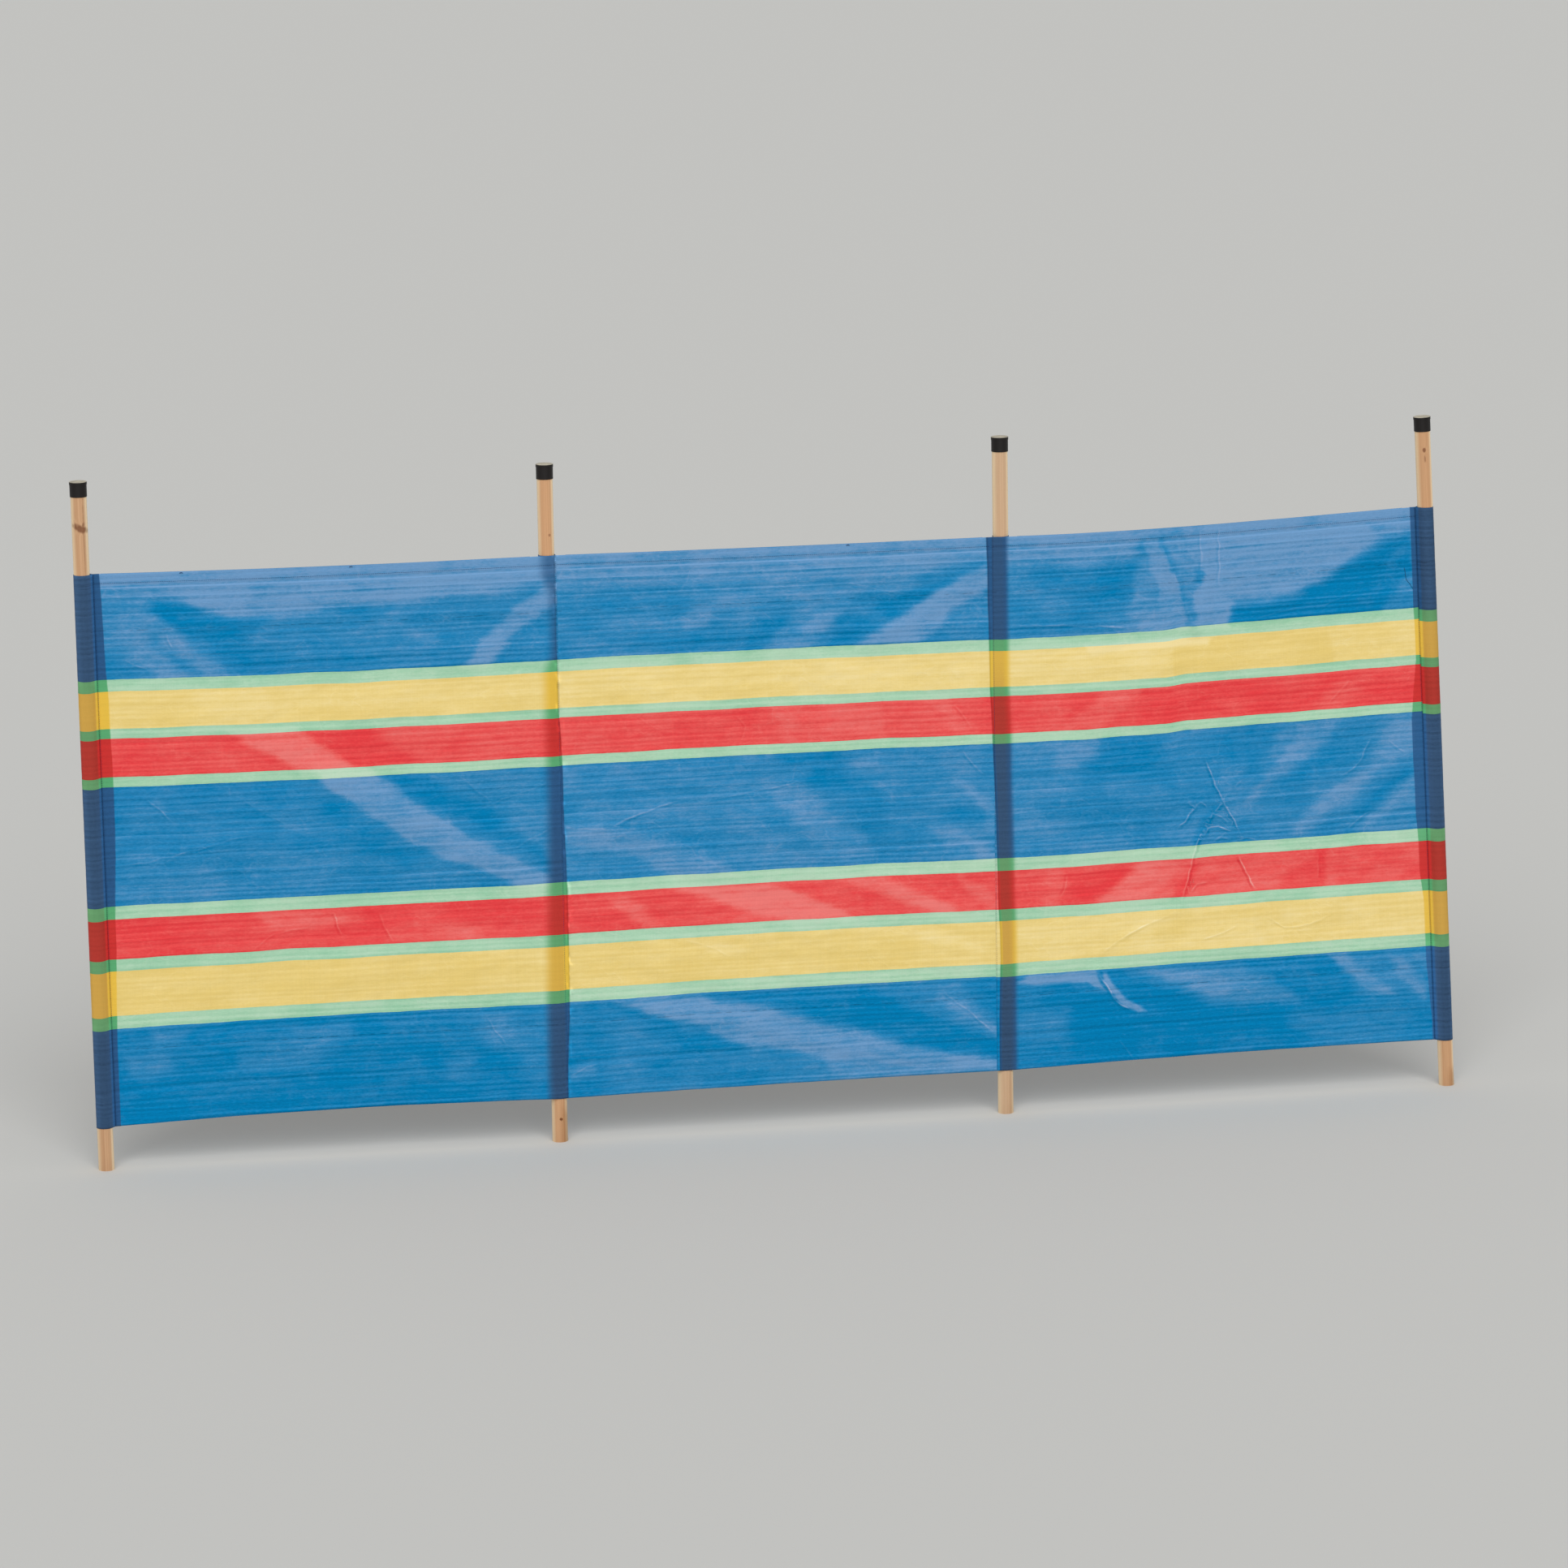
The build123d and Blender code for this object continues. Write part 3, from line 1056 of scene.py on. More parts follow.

# The painted sheen patches of the three bays, laid over each other in this order. A row is a level, a softness and
# an outline.
LEFT_PATCHES: Rows = (
    (0.34, 30, -60, -60, 800, 950),
    (0.10, 6, -20, 728, 760, 900),
    (0.56, 20, -20, 58, 70, 60, 92, 95, 60, 115, 100, 150, 60, 160, 30, 128, -20, 128),
    (0.78, 13, -20, -10, 760, -10, 726, 20, 690, 38, 645, 54, 600, 57, 545, 57, 500, 67, 450, 64, 390, 64, 330, 77, 250,
     79, 175, 77, 140, 63, 110, 45, 60, 41, -20, 41),
    (0.88, 8, -20, -10, 760, 17),
    (0.67, 12, -20, 22, 120, 20, 112, 42, -20, 46),
    (0.05, 11, 78, 46, 130, 48, 165, 66, 200, 79, 262, 84, 240, 102, 180, 114, 130, 108, 104, 84, 86, 62),
    (0.15, 10, 375, 70, 455, 66, 440, 82, 385, 84),
    (0.44, 22, 330, 88, 640, 84, 600, 130, 360, 132),
    (0.17, 20, 150, 122, 260, 122, 330, 160, 240, 165, 205, 160),
    (0.68, 10, 18, 88, 56, 98, 96, 132, 134, 170, 88, 170, 46, 134),
    (0.64, 9, 64, 66, 88, 68, 106, 88, 138, 122, 170, 143, 212, 170, 166, 170, 138, 148, 100, 122, 78, 94),
    (0.48, 16, 640, 140, 700, 115, 700, 168, 640, 168),
    (0.78, 7, 700, 42, 722, 44, 722, 74, 694, 92, 656, 118, 632, 140, 604, 172, 562, 172, 592, 130, 628, 98, 662, 72),
    (0.55, 12, 130, 188, 235, 188, 300, 244, 180, 244),
    (0.28, 8, -20, 262, 740, 325),
    (0.36, 12, 430, 262, 740, 262, 740, 325, 520, 325, 460, 290),
    (0.36, 12, 150, 290, 200, 323),
    (0.12, 10, 318, 262, 400, 262, 440, 290, 500, 325, 405, 325, 356, 296),
    (0.80, 8, 192, 256, 300, 256, 322, 275, 352, 300, 394, 330, 302, 330, 258, 300, 226, 282),
    (0.27, 16, -20, 338, 330, 338, 400, 400, 470, 440, 400, 455, -20, 455),
    (0.40, 16, 560, 338, 740, 338, 740, 532, 715, 532, 700, 500, 690, 480, 640, 430, 610, 390),
    (0.40, 20, 20, 455, 430, 455, 520, 500, 560, 530, 20, 530),
    (0.48, 12, 160, 445, 215, 490, 350, 480, 300, 462, 230, 450),
    (0.44, 8, 58, 356, 80, 366, 112, 408, 96, 408),
    (0.42, 8, 205, 362, 240, 374, 300, 418, 280, 424),
    (0.16, 12, 330, 374, 382, 408, 430, 440, 500, 484, 460, 490, 400, 466, 360, 434),
    (0.08, 11, 440, 340, 505, 344, 540, 372, 585, 400, 640, 440, 690, 480, 700, 505, 650, 474, 600, 446, 555, 420, 505,
     390, 455, 356),
    (0.79, 7, 328, 329, 405, 329, 434, 350, 468, 375, 502, 400, 536, 425, 570, 450, 614, 475, 660, 500, 699, 520, 714,
     536, 650, 534, 576, 502, 516, 474, 474, 451, 438, 426, 398, 400, 364, 371, 344, 352),
    (0.26, 6, -20, 552, 740, 618),
    (0.14, 10, -20, 552, 150, 552, 120, 618, -20, 618),
    (0.55, 12, 225, 553, 390, 558, 380, 580, 245, 588),
    (0.50, 10, 430, 584, 500, 578, 573, 600, 600, 617, 430, 617),
    (0.20, 4, -20, 634, 740, 706),
    (0.46, 10, 540, 634, 680, 634, 684, 664, 620, 650),
    (0.32, 14, 185, 752, 345, 742, 372, 752, 345, 790, 260, 808, 190, 806),
    (0.36, 12, 222, 772, 330, 766, 310, 800, 212, 806),
    (0.26, 14, 415, 732, 560, 732, 545, 790, 430, 792),
    (0.38, 12, 50, 735, 105, 735, 100, 757, 55, 757),
    (0.36, 12, 14, 772, 84, 774, 80, 806, 16, 808),
    (0.34, 16, 530, 734, 720, 734, 720, 800, 600, 800, 560, 770),
    (0.42, 10, 585, 742, 640, 760, 634, 800, 600, 796),
    (0.28, 18, 640, 800, 720, 890),
    (0.34, 12, 445, 804, 490, 804, 486, 846, 445, 846),
    (0.30, 12, 520, 812, 560, 850),
    (0.03, 12, 290, 732, 400, 732, 384, 748, 300, 748),
    (0.09, 14, 378, 765, 420, 800),
    (0.03, 16, -20, 815, 110, 900),
    (0.03, 16, 250, 832, 500, 900),
)
MIDDLE_PATCHES: Rows = (
    (0.44, 30, -60, -60, 800, 950),
    (0.18, 9, -20, 728, 760, 900),
    (0.62, 16, -20, 10, 575, 10, 560, 46, 500, 56, 250, 62, -20, 54),
    (0.80, 14, -20, 10, 260, 10, 240, 40, -20, 44),
    (0.67, 10, 560, -10, 740, -10, 740, 24, 700, 31, 650, 44, 600, 56, 556, 58),
    (0.57, 14, 250, 58, 500, 58, 480, 88, 260, 92),
    (0.78, 10, -20, -10, 740, 18),
    (0.36, 12, 145, 65, 200, 65, 200, 100, 150, 100),
    (0.30, 12, 58, 68, 124, 68, 130, 98, 62, 96),
    (0.32, 16, 90, 125, 300, 130, 320, 165, 60, 165),
    (0.66, 12, 200, 98, 242, 96, 246, 126, 205, 128),
    (0.56, 10, 330, 92, 352, 92, 352, 112, 332, 112),
    (0.16, 10, 440, 118, 520, 108, 560, 112, 520, 138, 474, 168, 430, 168, 455, 140),
    (0.18, 10, 310, 122, 370, 112, 350, 140, 325, 168, 300, 168),
    (0.05, 8, 694, 42, 650, 62, 610, 73, 560, 82, 522, 90, 510, 108, 545, 116, 590, 98, 640, 75, 692, 51),
    (0.40, 14, 640, 125, 695, 105, 700, 168, 600, 168),
    (0.66, 10, 462, 106, 436, 132, 400, 168, 350, 168, 380, 140, 420, 114),
    (0.80, 7, 694, 43, 696, 82, 654, 102, 628, 126, 602, 152, 576, 168, 478, 170, 518, 142, 560, 115, 600, 91, 640, 69),
    (0.58, 14, 370, 188, 560, 188, 570, 244, 380, 244),
    (0.39, 14, -20, 188, 350, 244),
    (0.34, 10, -20, 262, 740, 323),
    (0.58, 12, 345, 262, 520, 262, 530, 323, 365, 323),
    (0.40, 14, 520, 262, 700, 262, 700, 323, 530, 323),
    (0.60, 10, 600, 268, 628, 270, 668, 315, 640, 320),
    (0.18, 10, 600, 445, 690, 448, 688, 466, 600, 464),
    (0.14, 9, 345, 338, 455, 338, 462, 353, 362, 354),
    (0.16, 13, 400, 362, 470, 365, 520, 380, 542, 408, 520, 422, 470, 408, 430, 398, 400, 384),
    (0.30, 18, 460, 405, 600, 410, 640, 440, 600, 500, 500, 500, 470, 470),
    (0.55, 12, 450, 348, 505, 350, 520, 376, 455, 378),
    (0.48, 14, 600, 345, 700, 345, 700, 400, 640, 400),
    (0.50, 14, 505, 390, 560, 392, 566, 425, 520, 425),
    (0.54, 18, 215, 440, 330, 448, 350, 500, 250, 500),
    (0.74, 9, 3, 438, 60, 438, 104, 449, 158, 463, 220, 488, 278, 534, 184, 534, 143, 508, 90, 482, 3, 470),
    (0.61, 12, 330, 385, 400, 392, 430, 440, 480, 470, 500, 500, 492, 525, 440, 520, 410, 490, 380, 460, 345, 420),
    (0.68, 9, 640, 402, 662, 405, 702, 440, 690, 452),
    (0.63, 12, 600, 472, 655, 476, 672, 505, 620, 505),
    (0.70, 9, 655, 498, 684, 500, 716, 532, 680, 536),
    (0.30, 4, -20, 551, 740, 614),
    (0.80, 8, 170, 549, 332, 549, 390, 575, 462, 610, 470, 617, 372, 617, 312, 600, 240, 575),
    (0.76, 8, 444, 549, 514, 549, 562, 571, 636, 610, 640, 617, 606, 617, 550, 594, 494, 570),
    (0.60, 8, 640, 552, 684, 575, 716, 606, 698, 612, 656, 582),
    (0.58, 9, 66, 558, 105, 558, 165, 614, 128, 614),
    (0.21, 4, -20, 634, 740, 706),
    (0.56, 9, 470, 634, 590, 634, 690, 668, 682, 682),
    (0.48, 9, 186, 634, 240, 634, 296, 660, 262, 666),
    (0.34, 8, 20, 682, 90, 686, 110, 706, 20, 706),
    (0.30, 14, -20, 733, 90, 738, 120, 770, 160, 800, -20, 800),
    (0.28, 18, 60, 815, 400, 818, 420, 890, 60, 890),
    (0.55, 8, 4, 836, 44, 830, 44, 850, 6, 860),
    (0.38, 12, 480, 733, 640, 733, 650, 748, 700, 806, 704, 830, 640, 806, 590, 780, 540, 758),
    (0.60, 7, 600, 760, 640, 780, 704, 832, 704, 810, 652, 772, 612, 750),
    (0.10, 10, 652, 733, 740, 733, 740, 800, 702, 790, 662, 752),
    (0.54, 18, 430, 895, 410, 850, 470, 830, 560, 850, 640, 878, 640, 895),
    (0.02, 9, 262, 732, 480, 732, 540, 765, 600, 790, 700, 840, 702, 862, 620, 845, 540, 822, 470, 797, 400, 775, 350,
     756, 290, 747),
    (0.73, 8, 80, 729, 215, 729, 245, 744, 300, 752, 380, 775, 440, 797, 500, 812, 560, 835, 620, 850, 706, 868, 704,
     886, 600, 880, 500, 856, 420, 850, 360, 830, 290, 818, 250, 800, 200, 772, 130, 752),
)
RIGHT_PATCHES: Rows = (
    (0.41, 30, -60, -60, 800, 950),
    (0.09, 6, -20, 729, 760, 900),
    (0.84, 9, -20, -10, 740, 18),
    (0.60, 14, -20, 12, 80, 12, 80, 44, -20, 60),
    (0.82, 12, 70, 12, 252, 12, 246, 48, 210, 54, 80, 53),
    (0.36, 20, 60, 48, 240, 48, 246, 110, 200, 165, 60, 165),
    (0.14, 10, 62, 65, 150, 62, 236, 63, 240, 72, 232, 84, 84, 83),
    (0.22, 12, 80, 86, 236, 90, 236, 110, 180, 114, 90, 102),
    (0.88, 8, 345, -5, 712, -5, 700, 24, 650, 50, 622, 66, 598, 80, 572, 98, 545, 109, 500, 122, 452, 128, 402, 128,
     402, 169, 345, 169, 338, 110, 350, 75),
    (0.56, 8, 256, 20, 262, 50, 300, 60, 320, 168, 212, 168, 222, 138, 240, 104, 236, 88, 246, 66),
    (0.78, 4, 258, 8, 280, 4, 284, 25, 293, 50, 300, 75, 314, 100, 323, 125, 331, 150, 334, 168, 238, 168, 250, 148,
     284, 134, 281, 104, 268, 70, 258, 34),
    (0.66, 4, 281, 2, 322, 2, 334, 40, 342, 76, 344, 104, 338, 168, 335, 168),
    (0.54, 3, 283, 14, 291, 16, 304, 46, 322, 68, 337, 76, 342, 100, 340, 130, 339, 168, 334, 168, 331, 150, 323, 125,
     314, 100, 300, 75, 292, 50),
    (0.45, 3, 285, 24, 291, 26, 302, 52, 312, 74, 322, 98, 326, 125, 333, 160, 331, 150, 323, 125, 314, 100, 300, 75,
     292, 50),
    (0.74, 6, 324, 2, 348, 2, 352, 40, 348, 72, 340, 70),
    (0.36, 12, 668, 126, 720, 106, 720, 168, 656, 168),
    (0.62, 10, 640, 20, 700, 14, 720, 20, 712, 34, 660, 40),
    (0.06, 8, 404, 139, 452, 137, 500, 131, 552, 116, 584, 102, 608, 82, 632, 68, 664, 52, 712, 44, 712, 104, 690, 122,
     655, 169, 404, 169),
    (0.24, 10, 700, 66, 640, 160, 606, 160, 650, 104, 686, 66),
    (0.28, 4, 338, 74, 352, 74, 353, 94, 348, 99, 340, 94),
    (0.50, 4, -20, 188, 300, 244),
    (0.18, 4, 300, 188, 560, 188, 575, 244, 300, 244),
    (0.95, 4, 150, 184, 372, 184, 360, 196, 160, 198),
    (0.34, 8, -20, 262, 250, 262, 230, 323, -20, 323),
    (0.25, 8, 250, 262, 740, 262, 740, 323, 230, 323),
    (0.15, 12, 240, 262, 300, 323),
    (0.60, 10, 118, 325, 150, 290, 190, 266, 236, 266, 212, 295, 180, 325),
    (0.46, 12, 540, 323, 556, 296, 590, 270, 645, 266, 606, 300, 588, 323),
    (0.22, 18, 150, 345, 300, 430),
    (0.44, 18, 190, 445, 340, 440, 340, 525, 190, 525),
    (0.28, 12, 300, 350, 400, 350, 410, 400, 310, 400),
    (0.60, 12, 104, 340, 180, 338, 166, 372, 130, 392, 96, 392),
    (0.46, 16, 640, 338, 720, 532),
    (0.16, 5, 372, 462, 352, 482, 334, 508, 328, 534, 338, 534, 346, 512, 360, 492, 378, 474),
    (0.48, 5, 380, 476, 396, 500, 400, 514, 384, 506, 366, 502, 352, 514, 362, 494),
    (0.15, 14, 420, 345, 480, 345, 440, 400, 420, 420),
    (0.27, 12, 560, 376, 620, 345, 640, 345, 610, 400, 560, 420, 480, 440, 500, 415),
    (0.68, 9, 414, 470, 426, 448, 452, 418, 484, 390, 516, 345, 574, 338, 568, 365, 545, 382, 505, 407, 470, 427, 440,
     451, 424, 468),
    (0.69, 12, 488, 530, 520, 490, 545, 470, 570, 445, 600, 430, 640, 400, 655, 370, 680, 340, 712, 340, 704, 395, 655,
     425, 620, 450, 590, 475, 550, 500, 522, 530),
    (0.12, 10, 640, 462, 690, 425, 704, 432, 660, 470, 610, 500, 590, 498),
    (0.66, 9, 598, 528, 640, 490, 700, 438, 708, 452, 660, 500, 628, 530),
    (0.56, 5, -20, 552, 740, 616),
    (0.40, 12, -20, 552, 222, 552, 215, 612, -20, 612),
    (0.12, 9, 116, 558, 234, 554, 168, 612, 106, 612),
    (0.72, 9, 240, 554, 305, 552, 284, 590, 246, 618, 165, 618, 200, 588),
    (0.22, 8, 296, 600, 316, 580, 328, 560, 334, 572, 322, 600, 306, 618, 290, 618),
    (0.28, 9, 478, 588, 528, 572, 540, 618, 474, 618),
    (0.26, 6, 536, 552, 552, 552, 540, 618, 526, 618),
    (0.38, 12, 575, 560, 720, 556, 720, 618, 560, 618),
    (0.44, 8, -20, 634, 740, 706),
    (0.46, 9, 36, 640, 120, 640, 230, 634, 200, 700, 140, 704, 36, 690),
    (0.24, 6, 250, 664, 300, 650, 380, 642, 470, 648, 470, 660, 390, 656, 320, 664, 262, 682),
    (0.60, 8, 290, 684, 340, 672, 430, 668, 440, 700, 290, 704),
    (0.48, 12, 215, 732, 400, 732, 430, 752, 470, 775, 500, 806, 420, 806, 360, 800, 290, 765, 240, 748),
    (0.62, 9, 240, 734, 330, 741, 400, 758, 470, 782, 496, 800, 430, 796, 372, 788, 310, 766),
    (0.10, 11, 425, 732, 545, 732, 572, 765, 562, 784, 490, 768, 450, 752),
    (0.42, 14, 560, 733, 720, 733, 720, 800, 600, 800),
    (0.02, 16, 60, 770, 150, 765, 250, 812, 330, 815, 330, 895, 60, 895),
    (0.26, 14, 20, 788, 120, 850),
    (0.03, 20, 330, 818, 470, 815, 490, 895, 330, 895),
    (0.26, 20, 500, 825, 720, 815, 720, 895, 500, 895),
    (0.68, 8, 552, 730, 580, 733, 606, 758, 630, 782, 658, 801, 616, 799, 586, 772),
    (0.68, 9, 646, 736, 672, 742, 712, 788, 708, 814, 690, 800, 662, 772),
    (0.92, 4, 24, 738, 50, 729, 156, 729, 163, 737, 150, 746, 70, 743),
    (0.78, 3, 148, 731, 163, 731, 173, 748, 180, 764, 166, 757, 154, 747),
    (0.84, 3, 171, 733, 179, 735, 193, 753, 207, 771, 226, 785, 246, 801, 231, 802, 207, 790, 194, 777, 183, 760),
)

# The soft folds of the three bays. A row is a width, a height and a path.
LEFT_FOLDS: Rows = (
    (22, 1.6, 712, 60, 590, 160),
    (16, 1.2, 75, 75, 193, 167),
    (26, 1.8, 245, 277, 345, 340),
    (30, 3.2, 345, 340, 557, 462, 690, 535),
    (10, 0.7, 0, 465, 60, 462, 140, 445, 195, 432, 250, 425),
)
MIDDLE_FOLDS: Rows = (
    (20, 2.2, 701, 50, 496, 166),
    (14, 1.2, 465, 103, 361, 167),
    (18, 1.8, 15, 446, 120, 462, 235, 525),
    (10, 0.8, 0, 440, 90, 447, 110, 432, 200, 405, 260, 412, 400, 385),
    (18, 1.2, 342, 420, 474, 510),
    (12, 1.0, 650, 410, 700, 456),
    (20, 0.9, 152, 559, 388, 618),
    (14, 0.8, 518, 561, 645, 614),
    (16, 1.8, 90, 732, 245, 770, 320, 790, 447, 829, 696, 874),
)
RIGHT_FOLDS: Rows = (
    (9, 3.2, 277, 6, 340, 172),
    (8, 2.0, 360, 8, 360, 152),
    (8, 1.4, 383, 6, 382, 150),
    (14, 1.4, 450, 144, 540, 112, 712, 40),
    (8, 0.7, 16, 144, 120, 150, 240, 160),
    (9, 1.5, 345, 370, 365, 410, 380, 445, 395, 480, 406, 515),
    (9, 1.4, 375, 466, 352, 490, 335, 530, 320, 600),
    (16, 1.3, 501, 517, 570, 462, 630, 389),
    (12, 0.9, 419, 453, 492, 393),
    (8, 0.9, 170, 700, 240, 660, 300, 640),
    (8, 1.4, 163, 732, 178, 752, 200, 778, 232, 800, 252, 806),
)

# The sharp creases of the three bays, painted as a highlight on the ridge and shade beside it. A row is a strength
# and a path.
LEFT_CREASES: Rows = (
    (0.45, -8, 466, 60, 462, 140, 445, 195, 432, 250, 425),
    (0.45, 57, 360, 78, 376, 100, 402),
    (0.22, 205, 368, 240, 392, 283, 416),
    (0.55, 348, 560, 352, 580, 362, 602),
    (0.55, 418, 562, 428, 590, 442, 616),
    (0.35, 215, 618, 250, 590, 320, 580),
    (0.28, 545, 343, 580, 370, 615, 408),
    (0.28, 585, 404, 640, 382, 712, 360),
    (0.40, 585, 742, 600, 768, 622, 796),
    (0.35, 100, 96, 104, 110, 110, 122),
    (0.30, 246, 90, 262, 100, 282, 98),
    (0.30, 30, 136, 60, 150, 72, 155),
    (0.25, 600, 470, 640, 468, 712, 432),
)
MIDDLE_CREASES: Rows = (
    (0.35, 0, 440, 50, 446, 90, 447),
    (0.55, 70, 446, 110, 430, 150, 416, 200, 404),
    (0.35, 212, 412, 300, 398, 400, 384),
    (0.40, 200, 638, 235, 650, 272, 668),
    (0.22, 455, 60, 520, 78, 600, 92),
    (0.35, 650, 345, 668, 372, 690, 392),
    (0.40, 635, 268, 655, 292, 672, 318),
    (0.25, 280, 268, 300, 290, 290, 318),
    (0.22, 120, 262, 160, 290, 210, 300),
    (0.35, 610, 742, 650, 776, 704, 826),
    (0.35, 2, 850, 30, 836, 60, 830),
)
RIGHT_CREASES: Rows = (
    (0.10, 340, 168, 310, 90, 277, 6),
    (0.22, 352, 2, 353, 40, 352, 90),
    (0.24, 383, 2, 384, 50, 382, 110),
    (0.50, 16, 144, 120, 150, 240, 160),
    (0.28, 430, 162, 500, 150, 560, 148, 640, 120),
    (1.00, 350, 385, 362, 415, 376, 452, 392, 484, 411, 524),
    (1.00, 305, 628, 314, 600, 322, 571, 334, 528, 350, 497, 376, 464, 388, 446),
    (0.85, 345, 517, 355, 503, 372, 502, 398, 514),
    (0.80, 300, 500, 316, 490, 324, 476, 337, 464),
    (0.60, 318, 458, 330, 466, 344, 460, 356, 470),
    (0.60, 350, 488, 362, 480, 376, 486, 390, 500),
    (0.50, 358, 527, 374, 519, 392, 524),
    (0.75, 402, 526, 418, 524, 434, 530),
    (0.60, 322, 610, 332, 596, 352, 592),
    (1.00, 402, 552, 414, 580, 432, 614),
    (0.50, 576, 434, 600, 422, 616, 404, 633, 368),
    (0.45, 584, 524, 606, 508, 628, 492),
    (0.35, 532, 602, 536, 580, 534, 558),
    (0.45, 121, 562, 116, 580, 108, 600),
    (0.60, 168, 702, 200, 682, 240, 660, 304, 638),
    (0.45, 336, 692, 368, 684, 404, 668),
    (0.55, 448, 658, 478, 680, 520, 678, 564, 656),
    (0.30, 198, 848, 212, 866, 226, 886),
    (0.80, 165, 731, 176, 748, 190, 774, 204, 790, 226, 800),
    (0.35, 560, 312, 580, 292, 604, 272),
    (0.30, 380, 425, 400, 436, 418, 424),
    (0.30, 660, 380, 676, 392, 690, 402),
)

BAY_PATCHES = [[Patch.from_row(*row) for row in rows] for rows in (LEFT_PATCHES, MIDDLE_PATCHES, RIGHT_PATCHES)]
BAY_FOLDS = [[Fold(*row[:2], row[2:]) for row in rows] for rows in (LEFT_FOLDS, MIDDLE_FOLDS, RIGHT_FOLDS)]
BAY_CREASES = [[Crease(row[0], row[1:]) for row in rows] for rows in (LEFT_CREASES, MIDDLE_CREASES, RIGHT_CREASES)]

# How far the wandering edges of the seams and flaps lie from their pole's axis, in millimetres, at stops down the
# cloth. The blur is the right edge of the doubled band before the third pole, which has no sharp line.
EDGE_STOPS: tuple[float, ...] = (0, 50, 100, 150, 200, 250, 300, 350, 400, 450, 500, 550, 600, 650, 700, 750, 800, 850)
POLE_EDGES: dict[str, tuple[float, ...]] = {
    "left_flap": (27, 29, 30, 31, 34, 34, 35.5, 36, 35.5, 34.5, 32, 30, 30, 28, 26.7, 25.4, 25.4, 25.4),
    "left_seam": (11.5, 11, 11, 11, 12, 12, 15, 16.3, 16.3, 17.2, 18.5, 19.6, 19.6, 20, 19.4, 18.5, 15.7, 13.3),
    "right_seam": (-26, -24.5, -24.5, -23, -22.5, -22, -19.5, -18, -16, -14.5, -13.5, -12.5, -12, -9.5, -9, -10.5,
                   -11.5, -12),
    "right_blur": (8, 8, 8, 8, 9, 9, 11.5, 11.5, 11.5, 12.8, 14, 14.5, 15, 17, 17, 16, 16, 16),
    "right_flap": (-26, -26, -26, -26, -25, -25, -31, -36, -36, -35, -35, -32, -32, -26.6, -26.6, -26.5, -23.6,
                   -20.3),
}
# Where the doubled band before the second pole starts, in millimetres from its axis, at stops down the cloth.
BAND_STOPS: tuple[float, ...] = (30, 60, 160, 190, 400, 530, 730)
BAND_STARTS: tuple[float, ...] = (-21, -9, -9, -21, -19, -21, -26)
# How strongly the painted shadow of the second pole shows through that band, at stops in metres down the cloth.
POLE_SHADE_STOPS: tuple[float, ...] = (0, 0.15, 0.4, 0.55, 0.7, 0.885)
POLE_SHADE_DEPTHS: tuple[float, ...] = (0.12, 0.12, 0.12, 0.5, 0.65, 0.75)
# Painted light: how much lighter the doubled cloth of the flaps is, at stops in metres at the edges of the wide
# stripes.
LIFT_STOPS: tuple[float, ...] = (0.165, 0.190, 0.320, 0.345, 0.525, 0.555, 0.705, 0.730)
LIFTS: dict[str, tuple[float, ...]] = {
    "left_flap": (0.50, 0.20, 0.20, 0.50, 0.50, 0.20, 0.20, 0.50),
    "right_flap": (0.00, 0.10, 0.00, 0.40, 0.40, 0.07, 0.07, 0.50),
    "beside_right_flap": (0.00, 0.00, 0.00, 0.10, 0.10, 0.00, 0.00, 0.30),
}


def lifted(name: str, v: Array) -> Array:
    """Painted light: how much lighter the doubled cloth of a flap is at each place down the cloth, which differs with
    the stripe.
    """
    return np.interp(v, LIFT_STOPS, LIFTS[name])


def pole_edge(name: str, v: Array) -> Array:
    """How far a seam's or flap's wandering edge lies from its pole's axis, in metres, at each place down the cloth."""
    return np.interp(v * 1000, EDGE_STOPS, POLE_EDGES[name]) / 1000


def past(away: Array) -> Array:
    """0 to 1 across a sharp edge, for signed distances from it."""
    return smooth_step(away, -0.0005, 0.0005)


def shadow(away: Array) -> Array:
    """A thin soft line of shade: a bell curve of the distance from it."""
    return np.exp(-((away / 0.0015) ** 2))


def pucker_light_and_shade(away: Array, east: Array, v: Array) -> Array:
    """Painted light and shade of small puckers along the second pole's seam, for places away from it and east of its
    pole.

    Args:
        away, east: distances east of the seam and of the pole's axis.
        v: places down the cloth.

    Returns:
        How much lighter each place is.
    """
    pale = smooth_step(grain(east, v, 95, 0.004, 0.008), 0.25, 0.8)
    dark = smooth_step(grain(east, v, 96, 0.005, 0.007), 0.25, 0.8)
    return np.exp(-((away / 0.005) ** 2)) * (0.40 * pale - 0.12 * dark)


@dataclass(frozen=True)
class BayForm:
    """How one bay's cloth hangs, in metres.

    The top edge sags and the bottom edge rises between the poles, the top one more to the left by the skew. The pull
    is how much further down the striped cloth the middle of the bay shows. The free and hem margins are how far from
    the bay's start and end it hangs free and its hem runs. The close stretches, from each end, hold the columns that
    follow wandering seams and flaps.
    """

    top_sag: float
    bottom_rise: float
    skew: float
    pull: float
    free: tuple[float, float]
    hem: tuple[float, float]
    close_left: tuple[float, float]
    close_right: tuple[float, float]


BAY_FORMS: tuple[BayForm, ...] = (
    BayForm(0.0025, 0.0060, 0.0, -0.0025, (0.0, 0.033), (0.002, 0.042), (-0.003, 0.011), (-0.005, 0.0)),
    BayForm(0.0012, 0.0015, 0.0, 0.0018, (0.0, 0.0), (0.015, 0.015), (0.0, 0.009), (-0.0115, 0.0)),
    BayForm(0.00485, 0.0029, 0.9, -0.0008, (0.038, 0.010), (0.042, 0.022), (0.0, 0.014), (-0.0205, -0.002)),
)

Layers = tuple[Array, Array, Array]
SewnLine = tuple[Array, Array]


